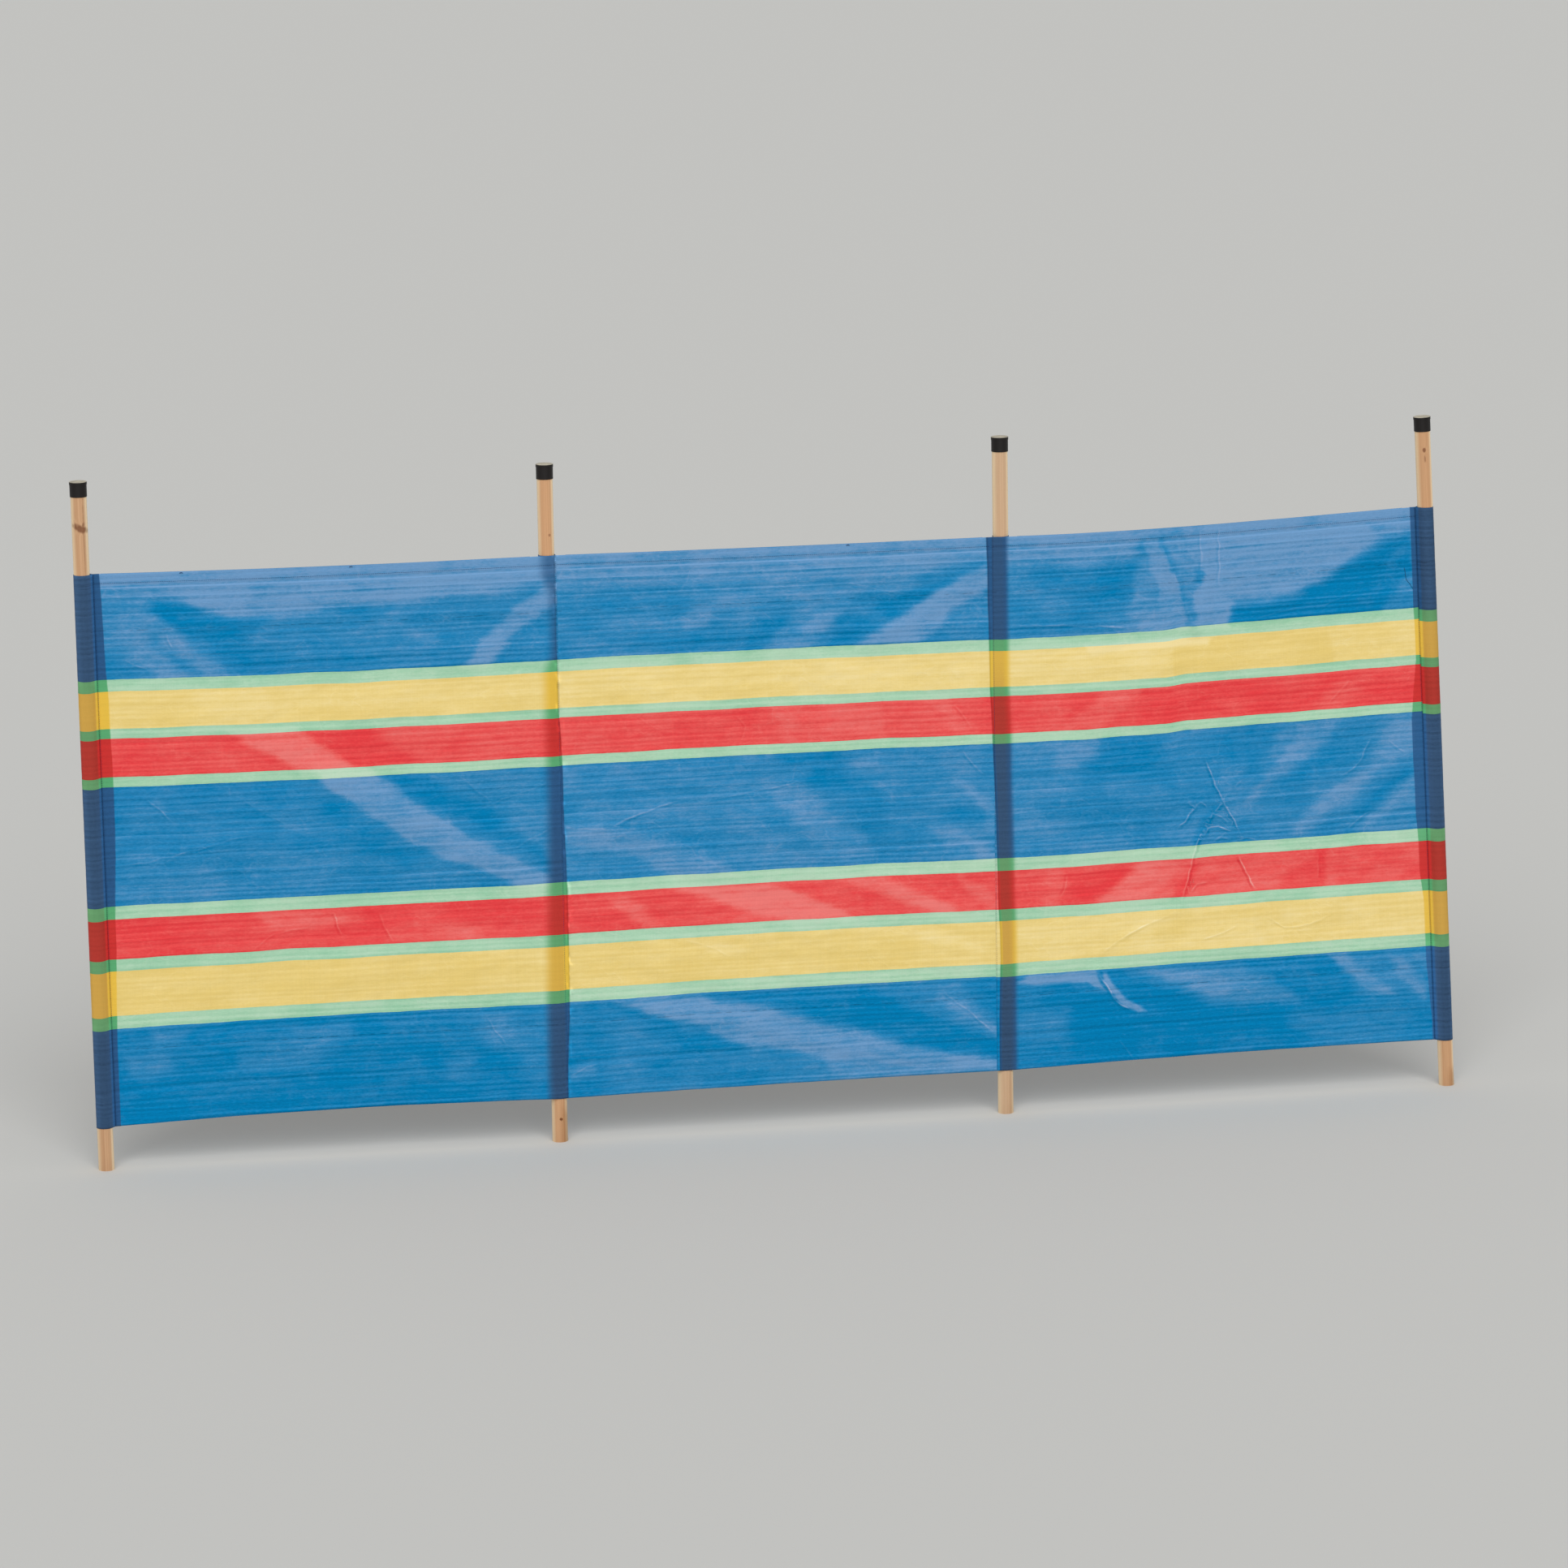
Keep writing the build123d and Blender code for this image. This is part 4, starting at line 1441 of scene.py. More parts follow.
@dataclass
class ClothBay:
    """The stretched cloth of one bay, with its folds, seen from the front."""

    number: int
    left: Pole
    right: Pole
    body: str
    course: Course
    first: float
    flap: float
    finish: Material
    thickness: float = 0.0003
    hem: float = 0.017
    hem_seam: float = 0.015
    hem_depth: float = 0.0005
    groove: float = 0.0003
    groove_width: float = 0.0012
    step: float = 0.0042
    close_step: float = 0.0011
    form: BayForm = field(init=False)
    span: float = field(init=False)
    stops: Array = field(init=False)
    length: float = field(init=False)
    drop: float = field(init=False)

    def __post_init__(self) -> None:
        """Work out the span between the poles at mid-height, the length along the bay's front and its height."""
        self.form = BAY_FORMS[self.number - 1]
        self.span = self.right.axis_x(0.5) - self.left.axis_x(0.5)
        self.stops = self.first + self.course.lengths(self.span)
        self.length = float(self.stops[-1])
        self.drop = self.left.drop

    def relief(self, u: Array, v: Array) -> Array:
        """How far the cloth stands out of its plane: its folds and a slow unevenness, fading out at both poles.

        Args:
            u, v: places on the cloth.

        Returns:
            Distances.
        """
        stand = 0.9 * ripples(u, v, 11 * self.number, 0.16, 1.3) + 0.4 * ripples(u, v, 7 * self.number, 0.05, 2.0)
        for fold in BAY_FOLDS[self.number - 1]:
            stand = stand + fold.stand(u * 1000, v * 1000)
        start, end = self.free_run()
        fade = smooth_step(u, start, start + 0.05) * (1 - smooth_step(u, end - 0.05, end))
        stitched = 0.35 + 0.65 * smooth_step(v, self.hem, 3 * self.hem)
        return stand * fade * stitched / 1000

    def free_run(self) -> tuple[float, float]:
        """Where the cloth hangs free, past its seams and the poles that it crosses."""
        start, end = self.form.free
        return start, self.length - end

    def reach(self, u: Array) -> tuple[Array, Array]:
        """How far east of the left and the right pole's axis each place lies, where it is near that pole.

        Args:
            u: places along the bay.

        Returns:
            Distances for both poles.
        """
        share = np.interp(u, self.stops, self.course.share)
        offset = np.interp(u, self.stops, self.course.offset)
        return offset + share * self.span, offset - (1 - share) * self.span

    def surface(self, u: Array, v: Array, behind: float = 0.0) -> Array:
        """Points of the cloth's middle.

        X and Z run between the two poles in the share of the course at u, and from the top edge to the bottom edge
        in the share v of the height. The edges bow inwards by a parabola of that share, the top one more to one side
        by the skew. Y is the course's own, less the relief.

        Args:
            u, v: places on the cloth, of shapes that broadcast.
            behind: extra distance behind the cloth.

        Returns:
            Points, with a last axis of 3.
        """
        u, v = np.broadcast_arrays(u, v)
        share = np.interp(u, self.stops, self.course.share)
        offset = np.interp(u, self.stops, self.course.offset)
        y = np.interp(u, self.stops, self.course.y)
        bow = 4 * share * (1 - share)
        sag = self.form.top_sag * bow * (1 + self.form.skew * (0.5 - share))
        top = self.left.cloth_top * (1 - share) + self.right.cloth_top * share - sag
        bottom = self.left.cloth_bottom * (1 - share) + self.right.cloth_bottom * share + self.form.bottom_rise * bow
        z = top + (bottom - top) * v / self.drop
        x = self.left.axis_x(z) * (1 - share) + self.right.axis_x(z) * share + offset
        return np.stack([x, y + behind - self.relief(u, v), z], axis=-1)

    def shine(self, u: Array, v: Array) -> Array:
        """How much painted sheen the cloth has: patches laid over each other, with slightly frayed edges.

        Args:
            u, v: places on the cloth.

        Returns:
            Levels of painted sheen.
        """
        frayed = u * 1000 + 5 * grain(u, v, 50 + self.number, 0.045, 0.010)
        frayed = frayed + 4 * grain(u, v, 60 + self.number, 0.03, 0.02)
        down = v * 1000 + 3 * grain(u, v, 70 + self.number, 0.06, 0.02)
        level = np.zeros(u.shape)
        for patch in BAY_PATCHES[self.number - 1]:
            level += (patch.level - level) * patch.cover(frayed, down)
        return level + 0.14 * grain(u, v, 80 + self.number, 0.05, 0.03)

    def creases(self, u: Array, v: Array) -> tuple[Array, Array]:
        """Signed distance in millimetres from the nearest crease, which wanders a little, and its strength.

        Args:
            u, v: places on the cloth.

        Returns:
            Distances and strengths.
        """
        aside = u * 1000 + 1.8 * grain(u, v, 56 + self.number, 0.02, 0.012)
        down = v * 1000 + 1.5 * grain(u, v, 57 + self.number, 0.02, 0.012)
        away = np.full(u.shape, 20.0)
        strength = np.zeros(u.shape)
        for crease in BAY_CREASES[self.number - 1]:
            distance, strong = crease.locate(aside, down)
            closer = np.abs(distance) < np.abs(away)
            away = np.where(closer, distance, away)
            strength = np.where(closer, strong, strength)
        return away, strength * (0.8 + 0.4 * grain(u, v, 58 + self.number, 0.02, 0.012))

    def dye(self, u: Array, v: Array) -> Array:
        """Where each place lies on the striped cloth.

        That is v, pulled up or down by a parabola along the bay and by soft ripples. In the third bay the upper
        stripes also step by 3.6 mm where its tall fold meets them.

        Args:
            u, v: places on the cloth.

        Returns:
            Places down the striped cloth, in metres.
        """
        bow = np.clip(4 * (u / self.length) * (1 - u / self.length), 0, 1)
        fade = smooth_step(v, 0.03, 0.15)
        pull = self.form.pull * bow
        if self.number == 3:
            window = smooth_step(v, 0.11, 0.16) * (1 - smooth_step(v, 0.35, 0.43))
            pull = pull + 0.0036 * smooth_step(u, 0.285, 0.325) * window
        return v + pull * fade + 0.0006 * ripples(u, v, 3 * self.number, 0.12, 0.7) * fade

    def marks(self, u: Array, v: Array) -> Marks:
        """What the finish needs at each place.

        The first mark is the painted sheen. The next two are painted shade, by how far a second layer and a pole lie
        behind. Crease is the distance from the nearest crease and sharp its strength. The last mark makes the tone
        lighter
        or darker: painted light and shade at seams, puckers and flaps.

        Args:
            u, v: places on the cloth.

        Returns:
            The marks by name.
        """
        layers = (self.left_layers, self.middle_layers, self.right_layers)[self.number - 1]
        doubled, backed, lift = layers(*self.reach(u), v)
        away, strength = self.creases(u, v)
        bloom = self.shine(u, v)
        return dict(zip(MARK_NAMES, (bloom, doubled, backed, away, strength, lift)))

    @staticmethod
    def left_layers(east: Array, west: Array, v: Array) -> Layers:
        """The first bay's marks of painted shade for doubled cloth and a pole behind, and of painted light and shade:
        its flap, and the band over its second pole.

        Args:
            east, west: distances east of the left and the right pole's axis.
            v: places down the cloth.

        Returns:
            The three marks.
        """
        band = smooth_step(west - np.interp(v * 1000, BAND_STOPS, BAND_STARTS) / 1000, 0.0, 0.021)
        band = band * np.interp(v, (0.10, 0.2), (0.72, 1.0))
        backed = band * np.interp(v, POLE_SHADE_STOPS, POLE_SHADE_DEPTHS) * (1 - smooth_step(west, 0.009, 0.013))
        seam = west - pole_edge("left_seam", v)
        doubled = np.maximum(1 - past(east - pole_edge("left_flap", v)), band * (1 - past(seam)))
        return doubled, backed, -0.18 * shadow(seam + 0.0008) + pucker_light_and_shade(seam, west, v)

    @staticmethod
    def middle_layers(east: Array, west: Array, v: Array) -> Layers:
        """The middle bay's marks, as for the first: the seams at both poles.

        Args:
            east, west, v: as for the first.

        Returns:
            The three marks.
        """
        left, right = east - pole_edge("left_seam", v), west - pole_edge("right_seam", v)
        # Painted shade along both seams, and painted light and shade of the puckers.
        lift = -0.18 * shadow(left + 0.0008) + pucker_light_and_shade(left, east, v) - 0.25 * shadow(right - 0.0012)
        return np.maximum(1 - past(left), past(right)), np.zeros(east.shape), lift

    @staticmethod
    def right_layers(east: Array, west: Array, v: Array) -> Layers:
        """The third bay's marks, as for the first: the band before its first pole, and its flap.

        Args:
            east, west, v: as for the first.

        Returns:
            The three marks.
        """
        seam, blur = east - pole_edge("right_seam", v), east - pole_edge("right_blur", v)
        # Painted shade of the doubled band and of the pole behind it; painted light beside the flap and shade along the
        # seam.
        band = past(seam) * (1 - smooth_step(blur, -0.004, 0.005))
        backed = smooth_step(seam, 0.002, 0.005) * (1 - smooth_step(blur, -0.012, 0.002))
        doubled = np.maximum(band, 0.93 * past(west - pole_edge("right_flap", v)))
        lift = doubled * (west > -0.05) * lifted("beside_right_flap", v) - 0.25 * shadow(seam - 0.0012)
        return doubled, backed * np.interp(v, (0, 0.2, 0.28), (0.6, 0.5, 1.0)), lift

    def face_line(self, u: Array, v: Array, side: int) -> SewnLine:
        """Points on one face of the cloth and their outward directions.

        The direction is the cross product of small steps along v and along u, and the face lies half the cloth's
        thickness out from its middle.

        Args:
            u, v: the places, as one line.
            side: 1 for the front and -1 for the back.

        Returns:
            Points and directions.
        """
        small = 0.0004
        ahead = self.surface(np.minimum(u + small, self.length), v) - self.surface(np.maximum(u - small, self.first), v)
        down = self.surface(u, v + small) - self.surface(u, v - small)
        out = np.cross(down, ahead)
        out *= side / np.linalg.norm(out, axis=-1, keepdims=True)
        behind = self.layers_behind(u, v) if side < 0 else np.zeros(u.shape)
        return self.surface(u, v) + out * (self.thickness / 2 + behind)[..., None], out

    def layers_behind(self, u: Array, v: Array) -> Array:
        """How much further back the outermost layer lies, where a hem or flap is behind the cloth."""
        flap = (u < 0) if self.number == 1 else (u > self.length - self.flap) & (self.number == 3)
        return np.where(flap | (v < self.hem), self.hem_depth, 0.0)

    def level_line(self, side: int) -> SewnLine:
        """The hem's sewn line along the bay, on one side of the cloth.

        Args:
            side: 1 for the front and -1 for the back.

        Returns:
            Points and directions.
        """
        start, end = (self.first, self.length) if side > 0 else self.free_run()
        u = np.linspace(start + 0.001, end - 0.001, 1200)
        return self.face_line(u, np.full(u.shape, self.hem_seam), side)

    def upright_line(self, u: float, side: int) -> SewnLine:
        """A sewn line from the top to the bottom at one place along the bay, on one side of the cloth."""
        v = np.linspace(0.001, self.drop - 0.001, 400)
        return self.face_line(np.full(v.shape, u), v, side)

    def columns(self) -> Array:
        """Places along the bay where the grid has columns: even, and much closer where seams and flaps wander."""
        even = np.linspace(self.first, self.length, int(self.length / self.step) + 1)
        left = np.arange(*self.form.close_left, self.close_step)
        right = self.length + np.arange(*self.form.close_right, self.close_step)
        return np.unique(np.concatenate([even, self.stops, left, right]).round(5))

    def rows(self) -> Array:
        """Places down the bay where the grid has rows: even, and closer at the hem."""
        close = np.linspace(0, 1.6 * self.hem, 15)
        even = np.linspace(1.6 * self.hem, self.drop, int(self.drop / self.step))
        return np.concatenate([close, even[1:]])

    def build_sheet(self) -> bpy.types.Object:
        """Build the bay's sheet of cloth, with a shallow groove along the hem's seam."""
        v, u = np.meshgrid(self.rows(), self.columns(), indexing="ij")
        points = self.surface(u, v)
        points[..., 1] += self.groove * np.exp(-(((v - self.hem_seam) / self.groove_width) ** 2))
        places = np.stack([u, self.dye(u, v)], -1)
        name = f"striped_cloth_{self.number}"
        sheet = grid_object(name, points, places, self.marks(u, v), self.thickness, self.finish)
        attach(sheet, self.body)
        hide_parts(f"cloth_bay_{self.number}")
        return sheet

    def build_hem(self, start: float, end: float) -> bpy.types.Object:
        """Build the folded top edge: up behind the cloth, and over the edge in half a turn to meet it.

        Args:
            start, end: where along the bay the hem runs.

        Returns:
            The hem.
        """
        half = self.hem_depth / 2
        turn = np.linspace(0, np.pi, 9)
        down = np.linspace(self.hem, 0, 7)[:-1]
        v_line = np.concatenate([down, np.zeros(len(turn))])
        rise = np.concatenate([np.zeros(len(down)), half * np.sin(turn)])
        behind = np.concatenate([np.full(len(down), self.hem_depth), half * (1 + np.cos(turn))])
        across = np.linspace(start, end, int((end - start) / self.step) + 1)
        v, u = np.meshgrid(v_line, across, indexing="ij")
        points = self.surface(u, v)
        loose = 0.0003 * ripples(u, v, 31 + self.number, 0.035) * smooth_step(v, 0.004, self.hem)
        points[..., 1] += behind[:, None] + np.abs(loose)
        points[..., 2] += rise[:, None]
        # Painted sheen, and painted shade of the hem's two layers.
        marks = {"doubled": np.full(u.shape, 0.25), "bloom": np.full(u.shape, 0.8)}
        name = f"folded_hem_{self.number}"
        hem = grid_object(name, points, np.stack([u, v], -1), marks, self.thickness, self.finish)
        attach(hem, self.body)
        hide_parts(f"top_hem_{self.number}")
        return hem


@dataclass
class PolePocket:
    """Cloth carried round a pole as a loop, from the sewn line on the front to the sewn line behind."""

    name: str
    node: str
    pole: Pole
    profile: Array
    pole_shade_share: Array
    first_u: float
    heading: int
    finish: Material
    flap: tuple[float, str] | None = None
    thickness: float = 0.0003
    rows: int = 170

    def build(self) -> bpy.types.Object:
        """Build the loop.

        The plan profile about the pole's axis is carried down the pole, X following the axis. Puckers press the loop
        in and out along its own outward direction. What lies past the flap's start is stretched in X to the flap's
        wandering edge.

        Returns:
            The pocket.
        """
        x, y = self.profile[:, 0], self.profile[:, 1]
        along = run_of(x, y)
        drop = self.pole.drop
        v, u = np.meshgrid(np.linspace(0, drop, self.rows), self.first_u + self.heading * along, indexing="ij")
        z = self.pole.cloth_top + (self.pole.cloth_bottom - self.pole.cloth_top) * v / drop
        reach = np.hypot(x, y)
        pucker = 0.0001 * ripples(u, v, self.pole.number * 5, 0.03, 1.5) / reach
        east = x * (1 + pucker)
        if self.flap:
            start, edge = self.flap
            spread = (pole_edge(edge, v) - start) / (x[-1] - start)
            past = (x - start) * np.sign(x[-1]) > 0
            east = np.where(past, start + (east - start) * spread, east)
        points = np.stack([self.pole.axis_x(z) + east, y * (1 + pucker), z], axis=-1)
        # Painted sheen, painted shade of two layers and of the pole behind, and painted light on a flap.
        shine = 0.3 + 0.3 * grain(u, v, 90 + self.pole.number, 0.02, 0.02)
        marks = {"bloom": shine, "doubled": np.ones(u.shape), "backed": np.broadcast_to(self.pole_shade_share, u.shape)}
        if self.flap:
            marks["lift"] = lifted(self.flap[1], v) * smooth_step(np.abs(x), 0.003, 0.014) * (y < 0)
        pocket = grid_object(self.name, points, np.stack([u, v], -1), marks, self.thickness, self.finish)
        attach(pocket, self.pole.body)
        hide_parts(self.node)
        return pocket


def turned(x: Array, y: Array, z: Array, place: Sequence[float] = (0.0, 0.0, 0.0)) -> Matrix:
    """The matrix that turns an object's own axes to three directions and puts it at a place.

    Args:
        x, y, z: the directions.
        place: the place.

    Returns:
        The matrix.
    """
    matrix = np.eye(4)
    matrix[:3] = np.stack([x, y, z, place], 1)
    return Matrix(matrix.tolist())


def unit(vector: Array) -> Array:
    """A direction of length 1."""
    return vector / np.linalg.norm(vector)


@dataclass
class Studio:
    """Plain pale floor, soft light and the camera at the picture's angle, in degrees, pixels and millimetres."""

    position: tuple[float, float, float] = (-0.757, -10.054, 2.696)
    pan: float = 10.473
    tilt: float = -11.779
    roll: float = -0.934
    focal_pixels: float = 8058.0
    picture_pixels: float = 1932.0
    sensor: float = 36.0
    floor_half: float = 60.0
    floor_colour: Colour = srgb(205, 205, 202)
    sky_strength: float = 0.52
    sun_energy: float = 1.98
    sun_spread: float = 50.0
    sun_from: tuple[float, float, float] = (-0.10, -0.80, 0.58)

    def set_camera(self) -> None:
        """Place the camera: its forward direction from pan and tilt, then rolled about it."""
        pan, tilt, roll = np.radians([self.pan, self.tilt, self.roll])
        forward = np.array([np.sin(pan) * np.cos(tilt), np.cos(pan) * np.cos(tilt), np.sin(tilt)])
        level = unit(np.cross(forward, [0.0, 0.0, 1.0]))
        upright = np.cross(level, forward)
        right = np.cos(roll) * level + np.sin(roll) * upright
        above = -np.sin(roll) * level + np.cos(roll) * upright
        data = bpy.data.cameras.new("camera")
        data.sensor_width = self.sensor
        data.lens = self.focal_pixels / self.picture_pixels * self.sensor
        data.clip_end = 200.0
        camera = add_object("camera", data)
        camera.matrix_world = turned(right, above, -forward, self.position)
        bpy.context.scene.camera = camera

    def lay_floor(self) -> None:
        """Lay a wide pale floor that takes shadows."""
        half = self.floor_half
        mesh = bpy.data.meshes.new("floor")
        corners = np.array([[-half, -half, 0], [half, -half, 0], [half, half, 0], [-half, half, 0]], float)
        mesh.from_pydata(corners, [], [[0, 1, 2, 3]])
        mesh.materials.append(Shader("floor").finish(self.floor_colour, 0.9, None, Specular_IOR_Level=0.1))
        add_object("floor", mesh)

    def light(self) -> None:
        """Light the scene: an even pale sky, and one soft sun from the front."""
        world = bpy.data.worlds.new("sky")
        bpy.context.scene.world = world
        world.use_nodes = True
        background = world.node_tree.nodes["Background"].inputs
        background["Color"].default_value = (1.0, 1.0, 1.0, 1.0)
        background["Strength"].default_value = self.sky_strength
        lamp = bpy.data.lights.new("soft_sun", "SUN")
        lamp.energy = self.sun_energy
        lamp.angle = np.radians(self.sun_spread)
        towards = unit(np.array(self.sun_from))
        side = unit(np.cross([0.0, 0.0, 1.0], towards))
        add_object("soft_sun", lamp).matrix_world = turned(side, np.cross(towards, side), towards)


# A stitch's five points: shares of its length, and how far out of the cloth they stand in radii of the thread.
STITCH_SHARES = np.array([0.0, 0.14, 0.5, 0.86, 1.0])
STITCH_HUMP = np.array([-1.2, 0.55, 0.85, 0.55, -1.2])


@dataclass
class Stitching:
    """Sewn lines: rows of short threads that dip into the cloth at both ends.

    The end seam runs a margin inside the bay's outer end, and the fold's seam a margin inside its inner end.
    """

    pitch: float = 0.0034
    stitch: float = 0.0027
    radius: float = 0.00021
    end_margin: float = 0.0009
    fold_margin: float = 0.0016

    def along(self, line: Array, out: Array) -> SewnLine:
        """Lay stitches along a line on the cloth.

        Each stitch starts a pitch after the last by the line's length, and its five points stand out of the cloth by
        a flat hump.

        Args:
            line: points on the cloth's face, in order.
            out: direction out of the cloth at each point.

        Returns:
            The stitches' lines, and a direction across each.
        """
        run = np.concatenate([[0.0], np.cumsum(np.linalg.norm(np.diff(line, axis=0), axis=1))])
        starts = np.arange(0.0005, run[-1] - self.stitch, self.pitch)
        stations = starts[:, None] + self.stitch * STITCH_SHARES
        place, away = (np.stack([np.interp(stations, run, part[:, axis]) for axis in range(3)], -1)
                       for part in (line, out))
        return place + away * (self.radius * STITCH_HUMP)[:, None], away[:, 2]

    def lines_of(self, bay: ClothBay) -> list[SewnLine]:
        """A bay's sewn lines: the hem's and the end seam's on both sides, and its fold's seam on the front.

        Args:
            bay: the bay.

        Returns:
            The lines.
        """
        lines = [bay.level_line(1), bay.level_line(-1)]
        if bay.number == 2:
            return lines
        end, fold = bay.first + self.end_margin, bay.length - self.fold_margin
        if bay.number == 3:
            end, fold = bay.length - self.end_margin, bay.first + self.fold_margin
        return lines + [bay.upright_line(end, 1), bay.upright_line(end, -1), bay.upright_line(fold, 1)]

    def build(self, bay: ClothBay, finish: Material) -> bpy.types.Object:
        """Make one piece of all the sewn lines of a bay.

        Args:
            bay: the cloth that they hold.
            finish: the thread's finish.

        Returns:
            The stitches.
        """
        laid = [self.along(line, out) for line, out in self.lines_of(bay)]
        lines = np.concatenate([stitches for stitches, _ in laid])
        out = np.concatenate([away for _, away in laid])
        made = thread_object(f"stitches_{bay.number}", lines, out, self.radius, finish)
        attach(made, bay.body)
        return made


# The loose thread's path on the third bay, and the bay and place along it of each thread end on the top edge, in
# millimetres.
LOOSE_PATH: tuple[int, ...] = (698, 96, 700, 104, 700, 112, 702, 119, 706, 123, 709, 128, 713, 135)
THREAD_ENDS: tuple[tuple[int, int], ...] = ((1, 127), (1, 392), (2, 468))


@dataclass
class LooseThread:
    """A thread end lying on the front of the cloth."""

    radius: float = 0.00042

    def build(self, name: str, bay: ClothBay, path: tuple[int, ...], finish: Material) -> bpy.types.Object:
        """Lay one thread along a path of straight lines, rounded off by a running mean.

        Args:
            name: the piece's name.
            bay: the cloth that it lies on.
            path: u and v of each stop in turn, in millimetres.
            finish: the thread's finish.

        Returns:
            The thread.
        """
        stops = np.array(path, float).reshape(-1, 2) / 1000
        share = np.linspace(0, len(stops) - 1, 41)
        window = np.clip(share[:, None] + np.linspace(-0.6, 0.6, 13), 0, len(stops) - 1)
        u, v = (np.interp(window, np.arange(len(stops)), stops[:, axis]).mean(axis=1) for axis in (0, 1))
        line, out = bay.face_line(u, v, 1)
        made = thread_object(name, (line + out * self.radius)[None], np.array([[0.0, -1.0, 0.0]]), self.radius, finish)
        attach(made, bay.body)
        return made


@dataclass
class Windbreak:
    """The whole windbreak, dressed piece by piece on the frame.

    Sizes are in metres: the radii of the loops round the poles and of the cloth over the inner poles' fronts, how far
    the end seams lie from their poles' axes, a flap's width, half the depth of two layers at a seam, and how far an
    inner loop stops short of its seam.
    """

    frame: dict
    loop_radius: float = 0.0130
    cover_radius: float = 0.0135
    seam_reach: float = 0.0170
    flap: float = 0.0100
    layer: float = 0.00025
    tip_gap: float = 0.0008
    poles: list[Pole] = field(init=False)
    seams: dict[str, Sequence[float]] = field(init=False)
    cloth: Material = field(init=False)
    bays: list[ClothBay] = field(init=False)

    def __post_init__(self) -> None:
        """Read the poles and seams from the frame, make the cloth's finish and lay out the bays."""
        self.poles = read_poles(self.frame)
        self.seams = {joint["child"]: joint["pos_m"] for joint in self.frame["joints"]}
        self.cloth = StripedCloth().material()
        self.bays = [self.plan_bay(number) for number in (1, 2, 3)]

    def seam_offset(self, pole: Pole) -> Array:
        """X and Y of an inner pocket's seam from its pole's axis."""
        place = self.seams["middle_bay" if pole.number == 2 else "right_wing"]
        return np.array([place[0] - pole.axis_x(place[2]), place[1]])

    def over_pole(self, pole: Pole) -> Array:
        """The cloth's way over an inner pole's front: an arc about its axis, then straight to the seam.

        Args:
            pole: the inner pole.

        Returns:
            Points from the pole's axis, from the front of the pole to the seam.
        """
        seam = self.seam_offset(pole)
        side = 1 if seam[0] > 0 else -1
        leave = tangent_angle(self.cover_radius, seam[0], seam[1], -side)
        if side < 0 < leave:
            leave -= 2 * np.pi
        bend = arc(self.cover_radius, np.linspace(-np.pi / 2 - side * 0.02, leave, 7))
        return np.concatenate([bend, leg(bend[-1], seam, np.linspace(0, 1, 9)[1:])])

    def plan_bay(self, number: int) -> ClothBay:
        """Lay out one bay's course from pole to pole, between its seams.

        Args:
            number: of the bay, from the left.

        Returns:
            The bay.
        """
        left, right = self.poles[number - 1], self.poles[number]
        if number == 1:
            way = np.concatenate([[(self.seam_reach, -self.layer)], self.over_pole(right)])
            share = np.concatenate([[0.0], np.ones(len(way) - 1)])
        elif number == 2:
            way = np.stack([self.seam_offset(left), self.seam_offset(right)])
            share = np.array([0.0, 1.0])
        else:
            way = np.concatenate([self.over_pole(left)[::-1], [(-self.seam_reach, -self.layer)]])
            share = np.concatenate([np.zeros(len(way) - 1), [1.0]])
        body = ("left_wing", "middle_bay", "right_wing")[number - 1]
        first = -self.flap if number == 1 else 0.0
        return ClothBay(number, left, right, body, Course(share, way[:, 0], way[:, 1]), first, self.flap, self.cloth)

    def end_loop(self, pole: Pole) -> bpy.types.Object:
        """Build an end pocket: from the seam round the pole, back to the seam and on as a flap behind the cloth.

        Args:
            pole: the end pole.

        Returns:
            The pocket.
        """
        side = 1 if pole.number == 1 else -1
        touch = np.arccos(self.loop_radius / self.seam_reach)
        bend = arc(self.loop_radius, np.linspace(-touch, touch - 2 * np.pi, 49))
        front, back = np.array([self.seam_reach, -self.layer]), np.array([self.seam_reach, self.layer])
        tail = np.array([self.seam_reach + self.flap, self.layer])
        share = np.linspace(0, 1, 5)
        legs = [leg(front, bend[0], share[:-1]), bend, leg(bend[-1], back, share[1:]), leg(back, tail, share[1:])]
        profile = np.concatenate(legs) * np.array([side, 1])
        x, y = profile.T
        # Painted shadow of the pole, seen through the front of the loop.
        backed = smooth_step(-np.abs(x), -0.0138, -0.0126) * smooth_step(-y, -0.004, 0.004)
        name = "end_pocket_left" if side > 0 else "end_pocket_right"
        first = self.bays[0].first if side > 0 else self.bays[2].length
        flap = (side * self.seam_reach, "left_flap" if side > 0 else "right_flap")
        return PolePocket(f"{name}_cloth", name, pole, profile, backed, first, -side, self.cloth, flap).build()

    def inner_loop(self, pole: Pole) -> bpy.types.Object:
        """Build an inner pocket: a loop that starts and ends at its seam behind the bay's cloth.

        Args:
            pole: the inner pole.

        Returns:
            The pocket.
        """
        seam = self.seam_offset(pole)
        side = 1 if seam[0] > 0 else -1
        tip = seam * (1 - self.tip_gap / np.hypot(seam[0], seam[1]))
        first, last = (tangent_angle(self.loop_radius, tip[0], tip[1], way) for way in (-1, 1))
        bend = arc(self.loop_radius, np.linspace(first, last - 2 * np.pi, 49))
        share = np.linspace(0, 1, 5)[:-1]
        profile = np.concatenate([leg(tip, bend[0], share), bend, leg(tip, bend[-1], share[::-1])])
        name = "inner_pocket_left" if side > 0 else "inner_pocket_right"
        backed = np.zeros(len(profile))
        return PolePocket(f"{name}_cloth", name, pole, profile, backed, 0.0, -side, self.cloth).build()

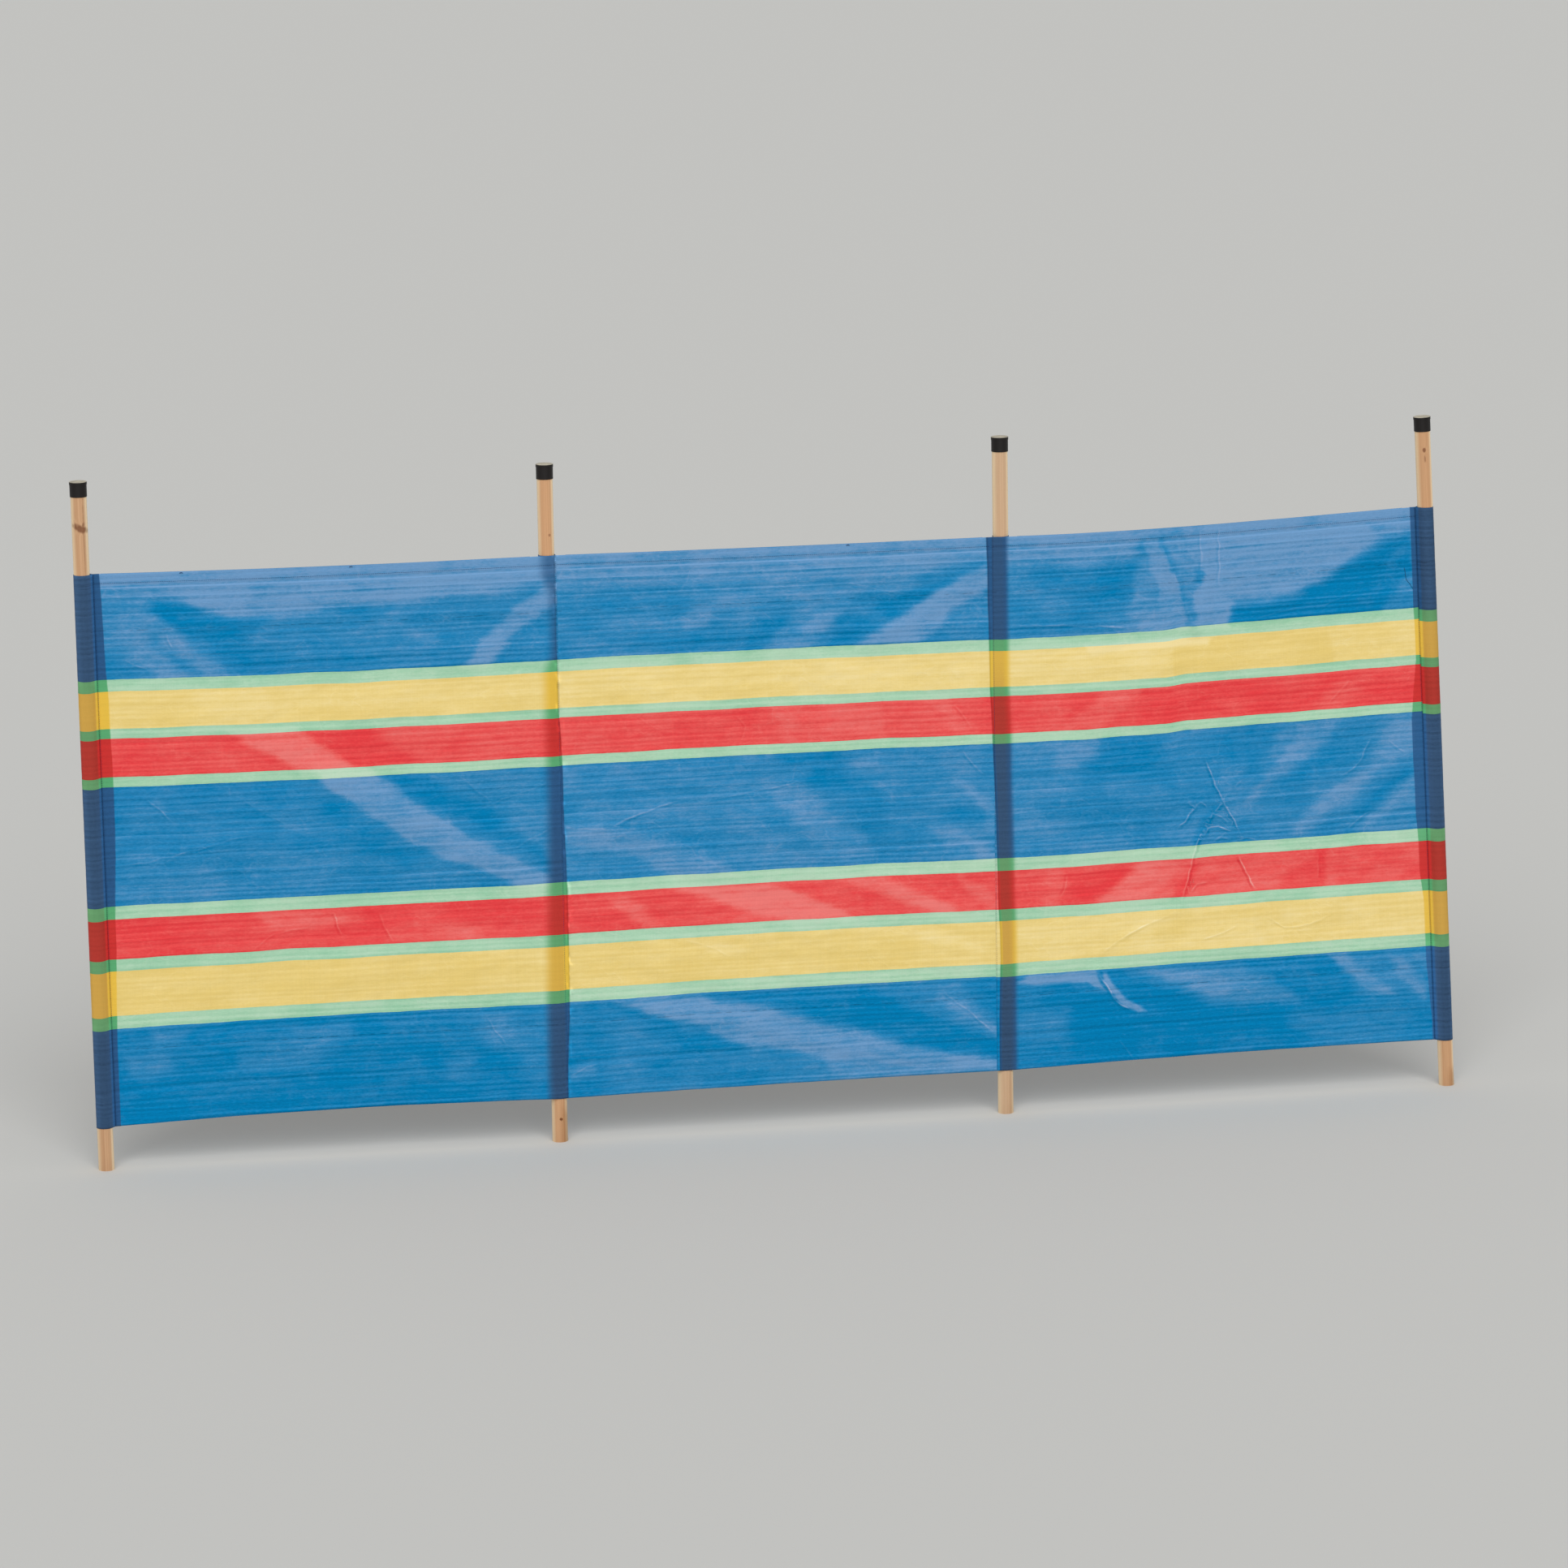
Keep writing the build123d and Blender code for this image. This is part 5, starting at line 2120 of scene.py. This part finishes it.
    def build_cloth(self) -> None:
        for bay in self.bays:
            sheet = bay.build_sheet()
            start, last = bay.form.hem[0], bay.length - bay.form.hem[1]
            hem = bay.build_hem(start, last)
            bay.length - bay.first
            last - start
            LOG.info("%s and %s, %.3f m long", sheet.name, hem.name, bay.length - bay.first)

    def build_pockets(self) -> None:
        """Build the four pockets and report them."""
        for pole in self.poles:
            pocket = self.end_loop(pole) if pole.number in (1, 4) else self.inner_loop(pole)
            LOG.info("%s on pole_%d", pocket.name, pole.number)

    def sew(self) -> None:
        """Sew the hems and the pockets' seams, and leave some loose thread."""
        navy = SewingThread("navy_thread", srgb(30, 48, 92)).material()
        blue = SewingThread("loose_thread", srgb(24, 88, 128)).material()
        for bay in self.bays:
            made = Stitching().build(bay, navy)
            LOG.info("%s, %d faces", made.name, len(made.data.polygons))
        loose = LooseThread().build("loose_thread", self.bays[2], LOOSE_PATH, blue)
        LOG.info("%s lies on %s", loose.name, self.bays[2].body)
        for number, (bay_number, u) in enumerate(THREAD_ENDS, start=1):
            bay = self.bays[bay_number - 1]
            nib = LooseThread(0.0006).build(f"thread_end_{number}", bay, (u - 3, 3, u, 1, u + 3, 3), navy)
            LOG.info("%s sticks to %s", nib.name, bay.body)

    def dress_poles(self) -> None:
        """Give each pole its own grain and every cap its plastic."""
        caps = CapPlastic().material()
        for pole, wood in zip(self.poles, WOODS):
            finish = wood.material(pole)
            for node, material in ((f"pole_{pole.number}", finish), (f"pole_cap_{pole.number}", caps)):
                mesh = self.frame["nodes"][node].data
                mesh.materials.clear()
                mesh.materials.append(material)
                LOG.info("%s finished", node)


def main() -> None:
    """Build the windbreak in order."""
    logging.basicConfig(level=logging.INFO, format="%(name)s: %(message)s")
    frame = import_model()
    studio = Studio()
    studio.set_camera()
    studio.lay_floor()
    studio.light()
    windbreak = Windbreak(frame)
    windbreak.build_cloth()
    windbreak.build_pockets()
    windbreak.sew()
    windbreak.dress_poles()
    bpy.context.scene.view_settings.view_transform = "Standard"
    LOG.info("sizes written")


if __name__ == "__main__":
    main()
